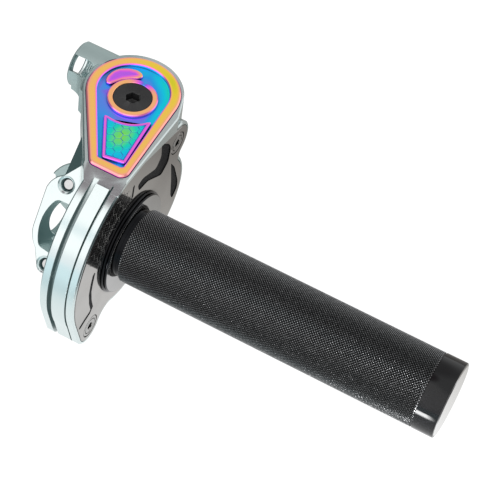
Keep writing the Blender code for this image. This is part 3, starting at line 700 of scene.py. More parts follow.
def rim_seam():
    """Fine line in the rim."""
    line = [(y, z) for y, z in chain(case_circles(SEAM_DEPTH + CASE_R - FLANK_R)) if y < -10.5 and z > -34]
    outer = [(y * 1.3, z * 1.3) for y, z in line]
    return prism("rim_seam", tidy(outer[::-1] + line)[::-1], *SEAM_X, AXIS_X)


def seam_wedge():
    """The seam is wider where the band starts."""
    low, high = SEAM_X
    points = []
    for radius in (CASE_R - 1.3, CASE_R + 3):
        for angle, left, right in ((104, low, low + 0.3), (113, low, high + 0.5), (142, low, high)):
            y, z = polar(radius, angle)
            points += [(left, y, z), (right, y, z)]
    faces = [(0, 2, 3, 1), (2, 4, 5, 3), (6, 7, 9, 8), (8, 9, 11, 10), (0, 1, 7, 6), (4, 10, 11, 5),
             (0, 6, 8, 2), (2, 8, 10, 4), (1, 3, 9, 7), (3, 5, 11, 9)]
    return made("seam_wedge", points, faces)


def rim_band():
    """Centre band of the rim, proud of the flanks."""
    width = (GROOVE_X[1], SEAM_X[0])
    straight = math.degrees(math.acos(CASE_R / BAND_START_R))
    outline = [polar(BAND_START_R, BAND_START)]
    outline += arc((0, 0), CASE_R, BAND_START + straight, BAND_END, 1.0)
    outline += arc((0, 0), BAND_FOOT_R, BAND_END, BAND_START, 2.0)
    return prism("rim_band", outline, *width, AXIS_X, chamfer=0.1)


def clamp_outline():
    nose = [(3.0, 30.0), (-4.0, 30.0), (-8.1, 24.5), (-13.6, 17.3)]
    nose += arc((-8.4, 9.0), 10.0, 128, 174, 4)
    nose += arc((-5.5, -5.0), 12.2, 180, 228, 4)
    nose += arc(CLAMP_BOLTS[1], 3.7, 218, 285, 8)
    return nose + [(3.0, -24.0)]


def clamp_window():
    outline = arc((-10.4, 4.9), 2.9, 90, 151.2, 6) + arc((3.6, -2.8), 18.88, 151.2, 207.5)
    outline += arc((-10.57, -10.18), 2.9, 207.5, 264, 6) + arc((-5.0, -10.9), 2.9, 264, 360, 6)
    return tidy(outline + arc((-5.0, 5.1), 2.9, 0, 90, 6))


def head_gusset():
    outer = [(-13.0, -4.4, 25.8), (-8.0, -0.5, 31.4), (-14.8, 12.0, 35.0), (-9.0, 14.0, 23.0)]
    inner = [(2.0, -2.0, 20.0), (2.0, 14.0, 24.0), (2.0, -2.0, 30.0), (2.0, 14.0, 36.0)]
    item = made("gusset", [], [])
    shape = bmesh.new()
    for corner in outer + inner:
        shape.verts.new(Vector(corner) * MM)
    bmesh.ops.convex_hull(shape, input=shape.verts)
    bmesh.ops.recalc_face_normals(shape, faces=shape.faces)
    shape.to_mesh(item.data)
    shape.free()
    return item


def thread(radius, depth, pitch, low, high):
    """Zigzag profile points of a thread from high to low."""
    points = []
    z = high
    while z > low + pitch:
        points += [(radius, z), (radius + depth, z - pitch / 2)]
        z -= pitch
    return points


def stub_tools():
    """Threaded bore, slot and cable hole of the cable stub."""
    bore = [(0, STUB_BORE_END + 2.6), (CABLE_R, STUB_BORE_END + 1.9), (STUB_BORE_R - 0.3, STUB_BORE_END)]
    bore += thread(STUB_BORE_R - 0.1, 0.3, 0.85, -36.2, STUB_BORE_END - 0.2)
    bore += [(STUB_BORE_R + 0.3, -36.4), (STUB_BORE_R + 0.9, -37.05), (STUB_BORE_R + 0.9, -45), (0, -45)]
    along = math.cos(math.radians(STUB_SLOT_ANGLE))
    across = math.sin(math.radians(STUB_SLOT_ANGLE))
    axes = Matrix(((1, 0, 0), (0, across, along), (0, -along, across)))
    at = (0, *STUB_AT)
    half = STUB_SLOT_WIDTH / 2
    last = STUB_BORE_END + 2.9 - half
    slot = block("stub_slot", (STUB_X[0] + 0.7, -half, 0), (last, half, 20), axes, at)
    end = rod("stub_slot_end", half, 0, 20, SMALL, axes, (last, *STUB_AT))
    hole = rod("stub_cable_hole", CABLE_R, STUB_BORE_END - 2, -12, SMALL, AXIS_X, at)
    return turned("stub_bore", bore, ROUND, AXIS_X, at), slot, hole, end


def clamp_holes():
    holes = []
    top = CLAMP_FACE
    profile = [(0, 24), (TAP_MOUTH_R, 24), (TAP_MOUTH_R, top + 0.02), (3.2, top - 0.5)]
    profile += thread(TAP_R, 0.36, TAP_PITCH, top - TAP_DEPTH + 0.4, top - 0.7)
    profile += [(2.5, top - TAP_DEPTH), (2.5, -3), (0, -3)]
    for i, spot in enumerate(CLAMP_BOLTS):
        holes.append(turned(f"thread_{i}", profile, SMALL, AXIS_CLAMP, AXIS_CLAMP @ Vector((*spot, 0))))
    return holes


def housing(looks):
    """Drum housing, pulley housing, cable stub and the fixed half of the clamp as one body."""
    body = prism("housing_body_fine", case_outline(0.0, CASE_TOP, FLANK_R), *CASE_X, AXIS_X, chamfer=0.55)
    join(body, prism("head", chain(HEAD_CIRCLES), *HEAD_Z, chamfer=0.5, top_only=True))
    join(body, rod("stub", STUB_R, *STUB_X, ROUND, AXIS_X, (0, *STUB_AT), 0.6))
    hollow_side = arc((-36.0, 26.0), 9.8, 84, 6, 3)
    corner = [(-18.0, 42.0), (-35.0, 42.0)] + hollow_side + [(-22.0, 25.0), (-14.0, 25.0)]
    join(body, prism("stub_fillet", anticlockwise(corner), *FILLET_Z))
    join(body, head_gusset())
    outline = anticlockwise(clamp_outline())
    join(body, prism("clamp_half", outline, CLAMP_SPLIT, CLAMP_FACE, AXIS_CLAMP, chamfer=0.35))
    tilt = Matrix.Rotation(math.radians(BROW_ANGLE - 90), 3, "X")
    cut(body, block("brow_cut", (-30, -30, FLANK_R), (30, 30, FLANK_R + 20), tilt))
    join(body, rim_band())
    seat = case_outline(PLATE_INSET - PLATE_GAP, PLATE_TOP + PLATE_GAP)
    cut(body, prism("plate_seat", seat, PLATE_X[0], 20, AXIS_X))
    cut(body, rod("drum_space", DRUM_SPACE_R, *DRUM_SPACE_X, ROUND, AXIS_X))
    boss = ring_profile(BAR_R + 0.6, BEARING_BOSS_R, 1.5, 5.0)
    join(body, turned("bearing_boss", boss, ROUND, AXIS_X))
    cut(body, rod("bearing_seat", BEARING_R, 0.9, 9, ROUND, AXIS_X),
        rod("bar_space", BAR_R, -45, 9, ROUND, AXIS_X))
    cut(body, rim_groove(), rim_seam(), seam_wedge())
    seat = chain([(x, y, r + COVER_GAP) for x, y, r in COVER_CIRCLES])
    cut(body, prism("cover_seat", seat, COVER_Z[0] - 0.15, 50))
    cut(body, rod("pulley_well", WELL_R, WELL_Z, 46, ROUND, at=(*BOLT, 0)))
    cut(body, *stub_tools())
    cut(body, prism("clamp_window", clamp_window(), 2, 26, AXIS_CLAMP))
    cut(body, *clamp_holes())
    bake(body)
    # Blasted stub end: rougher, and darkened by painted shade.
    mask = body.data.attributes.new("matte_and_shade", "FLOAT", "POINT")
    for vertex, value in zip(body.data.vertices, mask.data):
        x, y, z = body.matrix_world @ vertex.co / MM + ORIGIN
        outside_bore = math.hypot(y - STUB_AT[0], z - STUB_AT[1]) > STUB_R - 2.0
        value.value = float(x < BLASTED[0] and y > BLASTED[1] and outside_bore)
    settle(body, "housing", looks["satin"], ["housing_body"])


def cap_outline():
    outline = [(-0.6, 20.6)] + arc((-12.5, 7.0), 13.4, 95, 215, 4) + [(-17.6, -3.0), (-17.4, -8.0)]
    return anticlockwise(outline + arc((-8.0, -14.5), 9.6, 190, 262, 4) + [(-0.6, -25.2)])


def clamp_cap(looks):
    """Loose half of the clamp, with its two screws."""
    cap = prism("clamp_cap_fine", cap_outline(), CAP_BACK, -CLAMP_SPLIT, AXIS_CLAMP, chamfer=0.5)
    cut(cap, rod("cap_bar_space", BAR_R, -45, 9, ROUND, AXIS_X))
    seat = CAP_BACK + SCREW_SINK
    mouth = SCREW_SINK_R + 0.4
    profile = [(0, 5), (TAP_R, 5), (TAP_R, seat), (SCREW_SINK_R, seat), (SCREW_SINK_R, CAP_BACK + 0.4),
               (mouth, CAP_BACK - 0.01), (mouth, -30), (0, -30)]
    for i, spot in enumerate(CLAMP_BOLTS):
        cut(cap, turned(f"cap_bore_{i}", profile, SMALL, AXIS_CLAMP, AXIS_CLAMP @ Vector((*spot, 0))))
    # The whole cap is blasted and darkened by painted shade.
    bake(cap).data.attributes.new("matte_and_shade", "FLOAT", "POINT")
    for value in cap.data.attributes["matte_and_shade"].data:
        value.value = 1.0
    settle(cap, "housing", looks["satin"], ["clamp_cap"])
    seat -= 0.3
    profile = [(0, 17.6), (SCREW_R - 0.5, 17.6), (SCREW_R, 17.1), (SCREW_R, seat), (SCREW_HEAD_R, seat),
               (SCREW_HEAD_R, seat - SCREW_HEAD + 0.4), (SCREW_HEAD_R - 0.4, seat - SCREW_HEAD),
               (0, seat - SCREW_HEAD)]
    for name, spot in zip(("clamp_screw_upper", "clamp_screw_lower"), CLAMP_BOLTS):
        at = AXIS_CLAMP @ Vector((*spot, 0))
        screw = turned(name + "_fine", profile, SMALL, AXIS_CLAMP, at)
        cut(screw, rod("socket", 2.3, seat - 7, seat - 2.2, 6, AXIS_CLAMP, at))
        settle(screw, "housing", looks["steel"], [name])


# ---------------------------------------------------------------- face plate

def hex_tiles(name, bounds, pitch, gap, low, high, axes=AXIS_Z, lean=0.08):
    """Hexagonal tiles with bevelled rims over a rectangle, as separate shells in one object."""
    points = []
    faces = []
    rise = pitch * math.sqrt(3) / 2
    columns = math.ceil((bounds[2] - bounds[0]) / pitch) + 1
    rows = math.ceil((bounds[3] - bounds[1]) / rise) + 1
    outer = (pitch - gap) / math.sqrt(3)
    for row in range(rows):
        for column in range(columns):
            x = bounds[0] + (column + 0.5 * (row % 2)) * pitch
            y = bounds[1] + row * rise
            start = len(points)
            for radius, z in ((outer, low), (outer, high - lean), (outer - lean, high)):
                points += [(*polar(radius, 60 * i + 30, (x, y)), z) for i in range(6)]
            faces.append(tuple(start + i for i in range(6))[::-1])
            faces.append(tuple(start + 12 + i for i in range(6)))
            for level in (0, 6):
                faces += quads(start + level, start + level + 6, 6)
    return made(name, points, faces, axes)


BENT = [(20.5, 39.4), (27.1, 33.5), (29.2, 29.4), (28.3, 21.7), (23.0, 18.6), (11.2, 26.1), (4.1, 27.0),
        (2.7, 31.6), (6.8, 32.2), (17.3, 27.7), (21.1, 31.2)]
SLIM = [(31.1, 18.0), (35.0, 12.1), (39.6, -0.6), (39.8, -5.1), (36.2, -8.8), (34.1, -5.0), (33.0, 6.2)]
WAVE = [(-28.0, 8.2), (-29.2, 4.0), (-30.1, -1.5), (-29.4, -8.0), (-27.9, -13.6), (-29.4, -15.2),
        (-33.4, -16.1), (-36.6, -17.2)]
TICK = [(-0.6, 34.2), (-0.9, 31.2), (-1.1, 28.2)]


def band_outline():
    return tidy(arc((0, 0), 39.3, 101, 150, 2) + arc((0, 0), 25.0, 161.5, 93, 2) + [(-2.6, 33.0)])


def face_plate(looks):
    """Polished plate with hollows, engraved lines, a band of honeycomb tiles and its screws."""
    top = PLATE_X[1]
    plate = prism("face_plate_fine", case_outline(PLATE_INSET, PLATE_TOP), *PLATE_X, AXIS_X, chamfer=0.22)
    hole = [(0, 20), (PLATE_HOLE_R + 0.4, 20), (PLATE_HOLE_R + 0.4, top), (PLATE_HOLE_R, top - 0.4),
            (PLATE_HOLE_R, 10), (0, 10)]
    cut(plate, turned("plate_hole", hole, FINE, AXIS_X))
    dark_floor_outlines = []
    for i, corners in enumerate((BENT, SLIM)):
        outline = anticlockwise(rounded([(y, z, 1.6) for y, z in corners], 4))
        cut(plate, prism(f"pocket_{i}", outline, top - POCKET_DEPTH, top + 2, AXIS_X))
        dark_floor_outlines.append(outline)
    for i, (points, width) in enumerate(((WAVE, 2.0), (TICK, 1.4))):
        outline = anticlockwise(stroke(points, width))
        cut(plate, prism(f"line_{i}", outline, top - LINE_DEPTH, top + 1, AXIS_X))
        dark_floor_outlines.append(outline)
    band = band_outline()
    cut(plate, prism("band", band, top - BAND_DEPTH, top + 1, AXIS_X))
    profile = [(0, 18), (SINK_R, 18), (SINK_R, top - 0.5), (3.0, top - 2.7), (3.0, 10), (0, 10)]
    for i, spot in enumerate(PLATE_SCREWS):
        cut(plate, turned(f"sink_{i}", profile, SMALL, AXIS_X, (0, *spot)))
    bake(plate)
    tiles = hex_tiles("comb", (-42, 2, 0, 42), 5.2, 0.24, top - 0.6, top - 0.01, AXIS_X, 0.03)
    combine(tiles, "INTERSECT", prism("comb_area", band, top - 1, top + 1, AXIS_X))
    merge(plate, bake(tiles))
    settle(plate, "housing", looks["plate"], ["face_plate"])
    # Dark rough floors inside the pockets and lines.
    depths = (0.45, 0.45, 0.15, 0.15)
    floors = [prism(f"pocket_floor_{i}", outline, top - 0.95, top - depth, AXIS_X)
              for i, (outline, depth) in enumerate(zip(dark_floor_outlines, depths))]
    settle(merge(*floors), "housing", looks["rough_black"])
    lines = prism("comb_lines", band, top - 0.45, top - 0.12, AXIS_X)
    settle(lines, "housing", looks["etched"])
    for i, spot in enumerate(PLATE_SCREWS):
        screw = socket_screw(f"face_plate_screw_{i + 1}_fine", 4.8, 1.95, top - 0.05, 6.5, 1.75, AXIS_X,
                             (0, *spot), ring=((3.75, 0), (3.6, 0.35), (3.4, 0.35), (3.25, 0)))
        settle(screw, "housing", looks["screw"], [f"face_plate_screw_{i + 1}"])


def hexagon(radius, count):
    """Hexagon as an outline of count points, which lie on the same rays as a circle's."""
    points = []
    for i in range(count):
        angle = 360 * i / count
        across = radius * math.cos(math.radians(30)) / math.cos(math.radians(angle % 60 - 30))
        points.append(polar(across, angle))
    return points


def socket_screw(name, head_r, shank_r, top, bottom, socket_r, axes, at, count=72, ring=()):
    """Countersunk screw with a chamfered hexagonal socket."""
    cone = top - 0.3 - (head_r - shank_r)
    depth = top - head_r * 0.5
    steps = [(shank_r - 0.4, bottom), (shank_r, bottom + 0.4), (shank_r, cone), (head_r, top - 0.3),
             (head_r, top - 0.15), (head_r - 0.15, top)]
    steps += [(radius, top - dip) for radius, dip in ring] + [(socket_r * 1.12, top)]
    rings = [(circle(radius, count), z) for radius, z in steps]
    rings += [(hexagon(socket_r, count), z) for z in (top - socket_r * 0.13, depth)]
    return loft(name, rings + [(circle(socket_r * 0.3, count), depth - socket_r * 0.3)], axes, at)


# ---------------------------------------------------------------- pulley cover

def blend_rings(first, second, share):
    return [(a[0] + (b[0] - a[0]) * share, a[1] + (b[1] - a[1]) * share) for a, b in zip(first, second)]


def cover_plate():
    """Rim, pocket wall and pocket floor of the cover, with the film's thickness on each ring."""
    counts = (110, 26, 30)
    edge = [chain([(x, y, r - d) for x, y, r in COVER_CIRCLES], counts=counts) for d in (0, 0.55)]
    wall = [chain([(x, y, r + d) for x, y, r in POCKET_CIRCLES], counts=counts)
            for d in (0.35, 0.0, -0.5, -1.1)]
    top = COVER_Z[1]
    rings = [(edge[0], COVER_Z[0], 0.33), (edge[0], top - 0.6, 0.31), (edge[0], top - 0.5, 0.28),
             (edge[1], top, 0.26)]
    rim = ((0.10, 0.24), (0.2, 0.18), (0.45, 0.155), (0.75, 0.16), (0.88, 0.21), (0.97, 0.28))
    rings += [(blend_rings(edge[1], wall[0], share), top, film) for share, film in rim]
    rings += [(wall[0], top, 0.36), (wall[1], top - 0.3, 0.52), (wall[1], top - 0.7, 0.78),
              (wall[1], COVER_FLOOR + 0.2, 0.64), (wall[2], COVER_FLOOR, 0.52), (wall[3], COVER_FLOOR, 0.72)]
    return loft("pulley_cover_fine", [r[:2] for r in rings], film=[r[2] for r in rings])


def island(name, outlines, levels):
    """Raised shape: outlines from the base in to its centre, each with (height, film)."""
    rings = [(outline, z) for outline, (z, _) in zip(outlines, levels)]
    return loft(name, rings, film=[film for _, film in levels])


def shield():
    corners = [(1.3, -1.7, 1.0), (10.6, 0.2, 1.0), (8.2, 24.9, 1.6)]
    corners += [(x, y, 0) for x, y in arc(BOLT, 14.1, -31, -106, 5)[1:-1]]
    corners += [(-9.6, 18.0, 1.6)]
    top = COVER_Z[1] - 0.3
    levels = [(0, COVER_FLOOR - 0.2, 0.66), (0, top - 0.3, 0.52), (0.28, top, 0.40), (0.7, top, 0.36),
              (1.05, top, 0.46), (1.3, top - 0.02, 0.58), (1.45, top - 0.18, 0.64)]
    outlines = [rounded(inset(corners, depth)) for depth, _, _ in levels]
    plate = island("shield", outlines, [(z, f) for _, z, f in levels])
    return plate, rounded(inset(corners, 1.5)), top


CRESCENT = ((101, 12.2), (103, 14.0), (112, 15.4), (125, 16.2), (139, 16.6), (150, 16.2), (162, 15.2),
            (171, 14.0), (174, 12.6), (171, 11.2), (160, 10.6), (140, 10.5), (120, 10.6), (108, 11.0))


def crescent():
    top = COVER_Z[1] - 0.3
    corners = [(*polar(radius, angle, BOLT), 1.3) for angle, radius in CRESCENT]
    levels = [(0, COVER_FLOOR - 0.2, 0.62), (0, top - 0.3, 0.45), (0.3, top, 0.27), (0.7, top, 0.33),
              (1.5, top - 0.05, 0.42), (2.2, top - 0.12, 0.50)]
    outlines = [rounded(inset(corners, depth)) for depth, _, _ in levels]
    return island("crescent", outlines, [(z, f) for _, z, f in levels])


def bolt_ring():
    """Raised ring of the cover round the bolt's head."""
    top = COVER_Z[1] - 0.05
    inner = BOLT_HEAD_R + 0.15
    profile = [(inner + 0.15, top), (RING_R - 0.8, top), (RING_R - 0.3, top), (RING_R, top - 0.3),
               (RING_R, COVER_FLOOR + 0.2), (RING_R + 0.2, COVER_FLOOR - 0.2),
               (inner - 1.5, COVER_FLOOR - 0.2), (inner, top - 0.5), (inner, top - 0.15)]
    return turned("bolt_ring", profile, FINE, at=(*BOLT, 0))


def film_over(item, rule):
    """Sets the film's thickness at each point of an object from its place and old value."""
    mesh = item.data
    if "film" not in mesh.attributes:
        mesh.attributes.new("film", "FLOAT", "POINT")
    values = mesh.attributes["film"]
    for vertex, value in zip(mesh.vertices, values.data):
        spot = item.matrix_world @ vertex.co / MM + ORIGIN
        value.value = rule(spot, value.value)
    return item


def from_bolt(spot):
    """Distance and angle of a point from the bolt's axis."""
    x = spot[0] - BOLT[0]
    y = spot[1] - BOLT[1]
    return math.hypot(x, y), math.degrees(math.atan2(y, x))


def rim_film(spot, value):
    distance, angle = from_bolt(spot)
    if spot[2] < COVER_FLOOR + 0.1:
        away = 180 - abs(angle)
        green = max(0.0, 1 - abs(angle - 15) / 75) * max(0.0, distance - 12.2) / 2.4
        return 0.70 - 0.12 * max(0.0, 1 - away / 50) + 0.22 * green - 0.04 * max(0.0, 11.2 - distance)
    if spot[2] < 43.9 or distance < 14:
        return value
    warm = max(0.0, 1 - abs(angle - 62) / 75)
    return value - 0.13 * warm * (1 - abs(value - 0.15) * 2)


def ring_film(spot, _):
    distance, angle = from_bolt(spot)
    value = 0.19 if distance < RING_R - 0.6 else 0.30
    if spot[2] < 43.6:
        value = 0.6
    swirl = max(0.0, 1 - abs(angle - 88) / 55)
    return value + 0.45 * swirl ** 2


def crescent_film(spot, value):
    _, angle = from_bolt(spot)
    if spot[2] < 43.6:
        return value
    cool = max(0.0, 1 - abs(angle - 150) / 24)
    warm = max(0.0, 1 - abs(angle - 100) / 18)
    return value + 0.14 * cool * max(0.0, (value - 0.33) * 6) - 0.2 * warm


def tile_film(spot, _):
    x = spot[0] - 2.2
    y = spot[1] - 12.0
    away = math.hypot(x / 7.0, y / 11.0)
    return 0.96 - 0.20 * min(1.2, away ** 1.6)


def pulley_cover(looks):
    cover = cover_plate()
    cut(cover, rod("bolt_hole", BOLT_HEAD_R + 0.2, 40, 46, ROUND, at=(*BOLT, 0)))
    film_over(bake(cover), rim_film)
    plate, inner, top = shield()
    tiles = hex_tiles("panel", (-12, -4, 14, 27), 3.6, 0.24, top - 0.55, top - 0.03, lean=0.1)
    combine(tiles, "INTERSECT", prism("panel_area", inner, top - 1, top + 1))
    bake(tiles)
    spigot = turned("spigot", ring_profile(BOLT_HEAD_R + 0.3, WELL_R - 0.3, 39.6, 41.9), FINE, at=(*BOLT, 0))
    merge(cover, plate, film_over(tiles, tile_film), film_over(crescent(), crescent_film),
          film_over(bolt_ring(), ring_film), spigot)
    settle(cover, "housing", looks["rainbow"], ["pulley_cover"])
    bolt = socket_screw("pulley_bolt_fine", BOLT_HEAD_R, 3.95, COVER_Z[1] - 0.12, 22.5, 3.0, AXIS_Z,
                        (*BOLT, 0))
    settle(bolt, "housing", looks["bolt"], ["pulley_bolt"])


# ---------------------------------------------------------------- grip

def grip_sleeve(looks):
    """Knurled tube: valleys where the two sets of grooves cross, points in between."""
    low, high = SLEEVE_X
    margin = 0.15
    rows = round((high - low - 2 * margin) / (KNURL_PITCH / 2))
    columns = 2 * KNURL_AROUND
    start = low + margin
    step = (high - low - 2 * margin) / rows
    points = []
    peaks = []
    faces = []
    for j in range(rows + 1):
        for i in range(columns):
            peak = (i + j) % 2
            radius = GRIP_R if peak else GRIP_R - KNURL_DEPTH
            if j in (0, rows):
                radius = GRIP_R - KNURL_DEPTH * 0.9
            points.append((*polar(radius, 360 * i / columns), start + j * step))
            peaks.append(float(peak))
    for j in range(rows):
        for i in range(columns):
            a = j * columns + i
            b = j * columns + (i + 1) % columns
            c = b + columns
            d = a + columns
            if (i + j) % 2 == 0:
                faces += [(a, b, c), (a, c, d)]
            else:
                faces += [(a, b, d), (b, c, d)]
    ends = []
    for radius, z in ((GRIP_R - 0.6, high), (TUBE_R + 0.1, high), (TUBE_R + 0.1, low), (GRIP_R - 0.6, low)):
        ends.append(len(points))
        points += [(x, y, z) for x, y in circle(radius, columns)]
        peaks += [0.0] * columns
    loops = [rows * columns] + ends + [0]
    for first, second in zip(loops, loops[1:]):
        faces += quads(first, second, columns)
    sleeve = made("grip_sleeve_fine", points, faces, AXIS_X)
    values = sleeve.data.attributes.new("peak", "FLOAT", "POINT")
    values.data.foreach_set("value", peaks)
    settle(sleeve, "twist", looks["knurl"], ["grip_sleeve"], angle=15)


def grip_ends(looks):
    low, high = END_RING_X
    step = high - 2.1
    seat = END_DISC_R + 0.12
    bore = TUBE_R + 0.1
    profile = [(seat, high - 0.15), (seat + 0.15, high), (GRIP_R - 0.4, high), (GRIP_R - 0.12, high - 0.12),
               (GRIP_R, high - 0.4), (GRIP_R, low + 0.12), (GRIP_R - 0.12, low), (bore, low), (bore, step),
               (seat, step)]
    settle(turned("grip_end_ring_fine", profile, FINE, AXIS_X), "twist", looks["gloss"],
           ["grip_end_ring"])
    face = END_FACE_X
    profile = [(0, face - 0.08), (END_DISC_R * 0.5, face - 0.07), (END_DISC_R - 0.8, face - 0.02),
               (END_DISC_R - 0.35, face), (END_DISC_R, face - 0.3), (END_DISC_R, step + 0.2),
               (TUBE_BORE_R - 0.15, step + 0.2), (TUBE_BORE_R - 0.15, 152.5), (0, 152.5)]
    settle(turned("grip_end_cap_fine", profile, FINE, AXIS_X), "twist", looks["cap"],
           ["grip_end_cap"])


def collar(looks):
    low, high = COLLAR_X
    bore = NECK_R + 0.15
    profile = [(bore, high), (COLLAR_R - 1.1, high), (COLLAR_R - 0.75, high - 0.1),
               (COLLAR_R - 0.6, high - 0.3), (COLLAR_R - 0.6, high - 0.65),
               (COLLAR_R - 1.2, high - 0.8), (COLLAR_R - 1.2, high - 1.0),
               (COLLAR_R - 0.2, high - 1.15), (COLLAR_R, high - 1.35), (COLLAR_R, low + 0.2),
               (COLLAR_R - 0.2, low), (bore, low)]
    settle(turned("grip_collar_fine", profile, FINE, AXIS_X), "twist", looks["black"],
           ["grip_collar"])
    disc = ring_profile(NECK_R + 0.2, COLLAR_R - 0.95, high - 0.3, high + 0.03, 0.02)
    settle(turned("collar_face", disc, FINE, AXIS_X), "twist", looks["collar_face"])
    neck = ring_profile(TUBE_R + 0.2, NECK_R + 0.1, high + 0.02, SLEEVE_X[0] - 0.02)
    settle(turned("tube_neck", neck, FINE, AXIS_X), "twist", looks["black"])


def bearing(looks):
    """Bearing behind the bar bore: two races and a cage with round balls."""
    pitch = (RACE_R[0] + RACE_R[1]) / 2
    lip = BALL_R * 0.75
    where = (ROUND, AXIS_X, (BEARING_X, 0, 0))
    races = (("inner", "twist", RACE_R[0], pitch - lip), ("outer", "housing", pitch + lip, RACE_R[1]))
    for side, body, low, high in races:
        profile = ring_profile(low, high, -RACE_HALF, RACE_HALF, 0.15)
        race = turned(f"tube_bearing_{side}_fine", profile, *where)
        settle(race, body, looks["steel"], [f"tube_bearing_{side}"])
    cage = turned("tube_bearing_cage_fine", ring_profile(pitch - 0.32, pitch + 0.32, -1.1, 1.1), *where)
    turns = [math.pi * k / 16 for k in range(1, 16)]
    profile = [(BALL_R * math.sin(turn), BALL_R * math.cos(turn)) for turn in turns]
    profile = [(0, BALL_R)] + profile + [(0, -BALL_R)]
    spots = circle(pitch, BALLS)
    balls = [turned(f"ball_{i}", profile, 24, AXIS_X, (BEARING_X, *spot)) for i, spot in enumerate(spots)]
    merge(cage, *balls)
    settle(cage, "tube_balls", looks["brass"], ["tube_bearing_cage"])


def tube(looks):
    """Twist tube with its bearing seat and bore, seen at the open inboard end."""
    profile = [(11.4, 8.0), (TUBE_BORE_R, 8.6), (TUBE_BORE_R, 156.0), (TUBE_R, 156.0), (TUBE_R, 19.4),
               (NECK_R, 19.4), (NECK_R, 12.6), (19.0, 12.6), (19.0, 10.9), (12.5, 10.9), (12.5, 1.35),
               (12.35, 1.2), (11.4, 1.2)]
    settle(turned("throttle_tube_fine", profile, FINE, AXIS_X), "twist", looks["black"],
           ["throttle_tube"])


FINISH = {
    "machined": ("cable_drum", "pulley"),
    "steel": ("drum_screw_1", "drum_screw_2", "drum_screw_3", "pulley_bearing_outer", "pulley_bearing_inner",
              "pulley_spacer_lower", "pulley_spacer_upper"),
    "brass": ("pulley_bearing_cage",),
    "nylon": ("thrust_washer", "bar_bush_inner", "bar_bush_outer"),
    "rubber": ("dust_seal",),
}


def carry_over(looks):
    """Materials for the CAD nodes that stay."""
    for look, nodes in FINISH.items():
        for item in (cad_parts[node] for node in nodes):
            if not item.material_slots:
                item.data.materials.append(looks[look])
            for entry in item.material_slots:
                entry.link = "OBJECT"
                entry.material = looks[look]


# ---------------------------------------------------------------- stage

FLOOR_Y = (-200, 120)
FLOOR_TONES = [(0.0, (0.70, 0.86, 0.90)), (0.28, (0.60, 0.72, 0.75)), (0.42, (0.84, 0.88, 0.88)),
               (0.62, (0.88, 0.88, 0.88)), (0.78, (0.50, 0.49, 0.47)), (0.88, (0.30, 0.285, 0.27))]
FLOOR_REACH = 6000
FLOOR_GAP = 0.6
STRIP = (("X", -150, -125), ("X", 40, 0), ("Y", -200, -160), ("Y", -85, -115))
STRIP_HEADING = (0.25, 0.05)
STRIP_TONE = (30.0, 30.0, 30.0)
SKY_BASE = (0.97, 0.98, 0.98)
SKY_LOBES = [
    ((-0.22, -0.76, 0.61), 31, 44, (1.38, 1.37, 1.36)),
    ((-0.22, -0.74, 0.64), 1, 9, (0.86, 1.00, 1.04)),
    ((-0.22, -0.97, 0.03), 4, 16, (1.07, 1.09, 1.11)),
    ((-0.22, 0.00, 0.97), 8, 18, (0.27, 0.205, 0.22)),
    ((-0.20, 0.62, 0.76), 12, 36, (0.55, 0.54, 0.54)),
]
SIDE_LOBES = [
    ((-1.00, 0.10, 0.00), 32, 55, (0.04, 0.06, 0.06)),
    ((1.00, -0.25, 0.05), 25, 50, (0.04, 0.04, 0.045)),
]


def strip_light(tree, split, heading, colour):
    """Bright strip on the floor before the grip; it shines inboard only and is seen in reflections."""
    edges = [(split.outputs[axis], start * MM, end * MM) for axis, start, end in STRIP]
    edges.append((heading.outputs["X"], *STRIP_HEADING))
    shares = [soft_step(tree, *edge) for edge in edges]
    share = shares[0]
    for other in shares[1:]:
        share = sums(tree, "MULTIPLY", share, other)
    return mix(tree, share, colour, (*STRIP_TONE, 1))


def lobed(tree, direction, colour, lobes):
    """Colour by direction: soft round patches (direction, inner and outer degrees, colour) over a base."""
    for towards, inner, outer, tone in lobes:
        dot = add(tree, "VectorMath", operation="DOT_PRODUCT")
        dot.inputs[1].default_value = Vector(towards).normalized()
        tree.links.new(direction, dot.inputs[0])
        edges = [math.cos(math.radians(angle)) for angle in (outer, inner)]
        colour = mix(tree, soft_step(tree, dot.outputs["Value"], *edges), colour, (*tone, 1))
    return colour


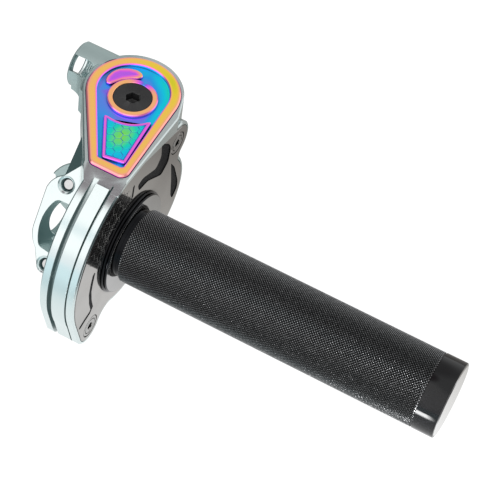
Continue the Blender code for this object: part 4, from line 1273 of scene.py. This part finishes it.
def floor():
    """Plain pale floor; rays other than the camera's see soft tones that the metal reflects."""
    corners = [(x * FLOOR_REACH, y * FLOOR_REACH, 0) for x, y in ((-1, -1), (1, -1), (1, 1), (-1, 1))]
    item = made("floor", corners, [(0, 1, 2, 3)])
    item.location = (0, 0, cad_low.z - FLOOR_GAP * MM)
    look, tree, shader = blank("white_floor")
    coords = place_in(tree)
    split = add(tree, "SeparateXYZ", Vector=coords)
    reach = span(tree, split.outputs["Y"], 0.0, 1.0, From_Min=FLOOR_Y[0] * MM, From_Max=FLOOR_Y[1] * MM)
    arriving = add(tree, "VectorMath", operation="SCALE", Scale=-1.0)
    tree.links.new(add(tree, "NewGeometry").outputs["Incoming"], arriving.inputs[0])
    tones = lobed(tree, arriving.outputs[0], ramp(tree, FLOOR_TONES, reach), SIDE_LOBES)
    tones = strip_light(tree, split, add(tree, "SeparateXYZ", Vector=arriving.outputs[0]), tones)
    pale = ramp(tree, [(0.3, (0.93, 0.93, 0.93)), (0.7, (0.96, 0.96, 0.96))], noise(tree, coords, 3.0))
    seen = add(tree, "LightPath").outputs["Is Camera Ray"]
    fill(tree, shader, Base_Color=(0.05, 0.05, 0.05, 1), Roughness=0.9, Emission_Strength=1.1,
         Emission_Color=mix(tree, seen, tones, pale))
    item.data.materials.append(look)


def sky():
    world = bpy.data.worlds.new("studio")
    bpy.context.scene.world = world
    world.use_nodes = True
    tree = world.node_tree
    direction = add(tree, "TexCoord").outputs["Generated"]
    base = add(tree, "RGB")
    base.outputs[0].default_value = (*SKY_BASE, 1)
    fill(tree, tree.nodes["Background"], Strength=1.0,
         Color=lobed(tree, direction, base.outputs[0], SKY_LOBES + SIDE_LOBES))


CAMERA_AT = (0.2207503, -0.4192923, 0.5716946)
CAMERA_RIGHT = (0.8764, 0.4679, 0.1137)
CAMERA_UP = (-0.429, 0.6516, 0.6255)


def camera():
    data = bpy.data.cameras.new("camera")
    item = bpy.data.objects.new("camera", data)
    bpy.context.scene.collection.objects.link(item)
    right = Vector(CAMERA_RIGHT)
    back = right.cross(Vector(CAMERA_UP)).normalized()
    up = back.cross(right).normalized()
    spin = Matrix((right.normalized(), up, back)).transposed()
    item.matrix_world = Matrix.Translation(Vector(CAMERA_AT) - ORIGIN * MM) @ spin.to_4x4()
    data.lens = 131.965
    data.sensor_width = 36
    data.clip_start = 0.01
    data.clip_end = 30
    bpy.context.scene.camera = item


def studio():
    floor()
    sky()
    bpy.context.scene.view_settings.view_transform = "Standard"
    camera()


# ---------------------------------------------------------------- whole

looks = make_looks()
housing(looks)
clamp_cap(looks)
face_plate(looks)
pulley_cover(looks)
tube(looks)
bearing(looks)
collar(looks)
grip_sleeve(looks)
grip_ends(looks)
carry_over(looks)
studio()
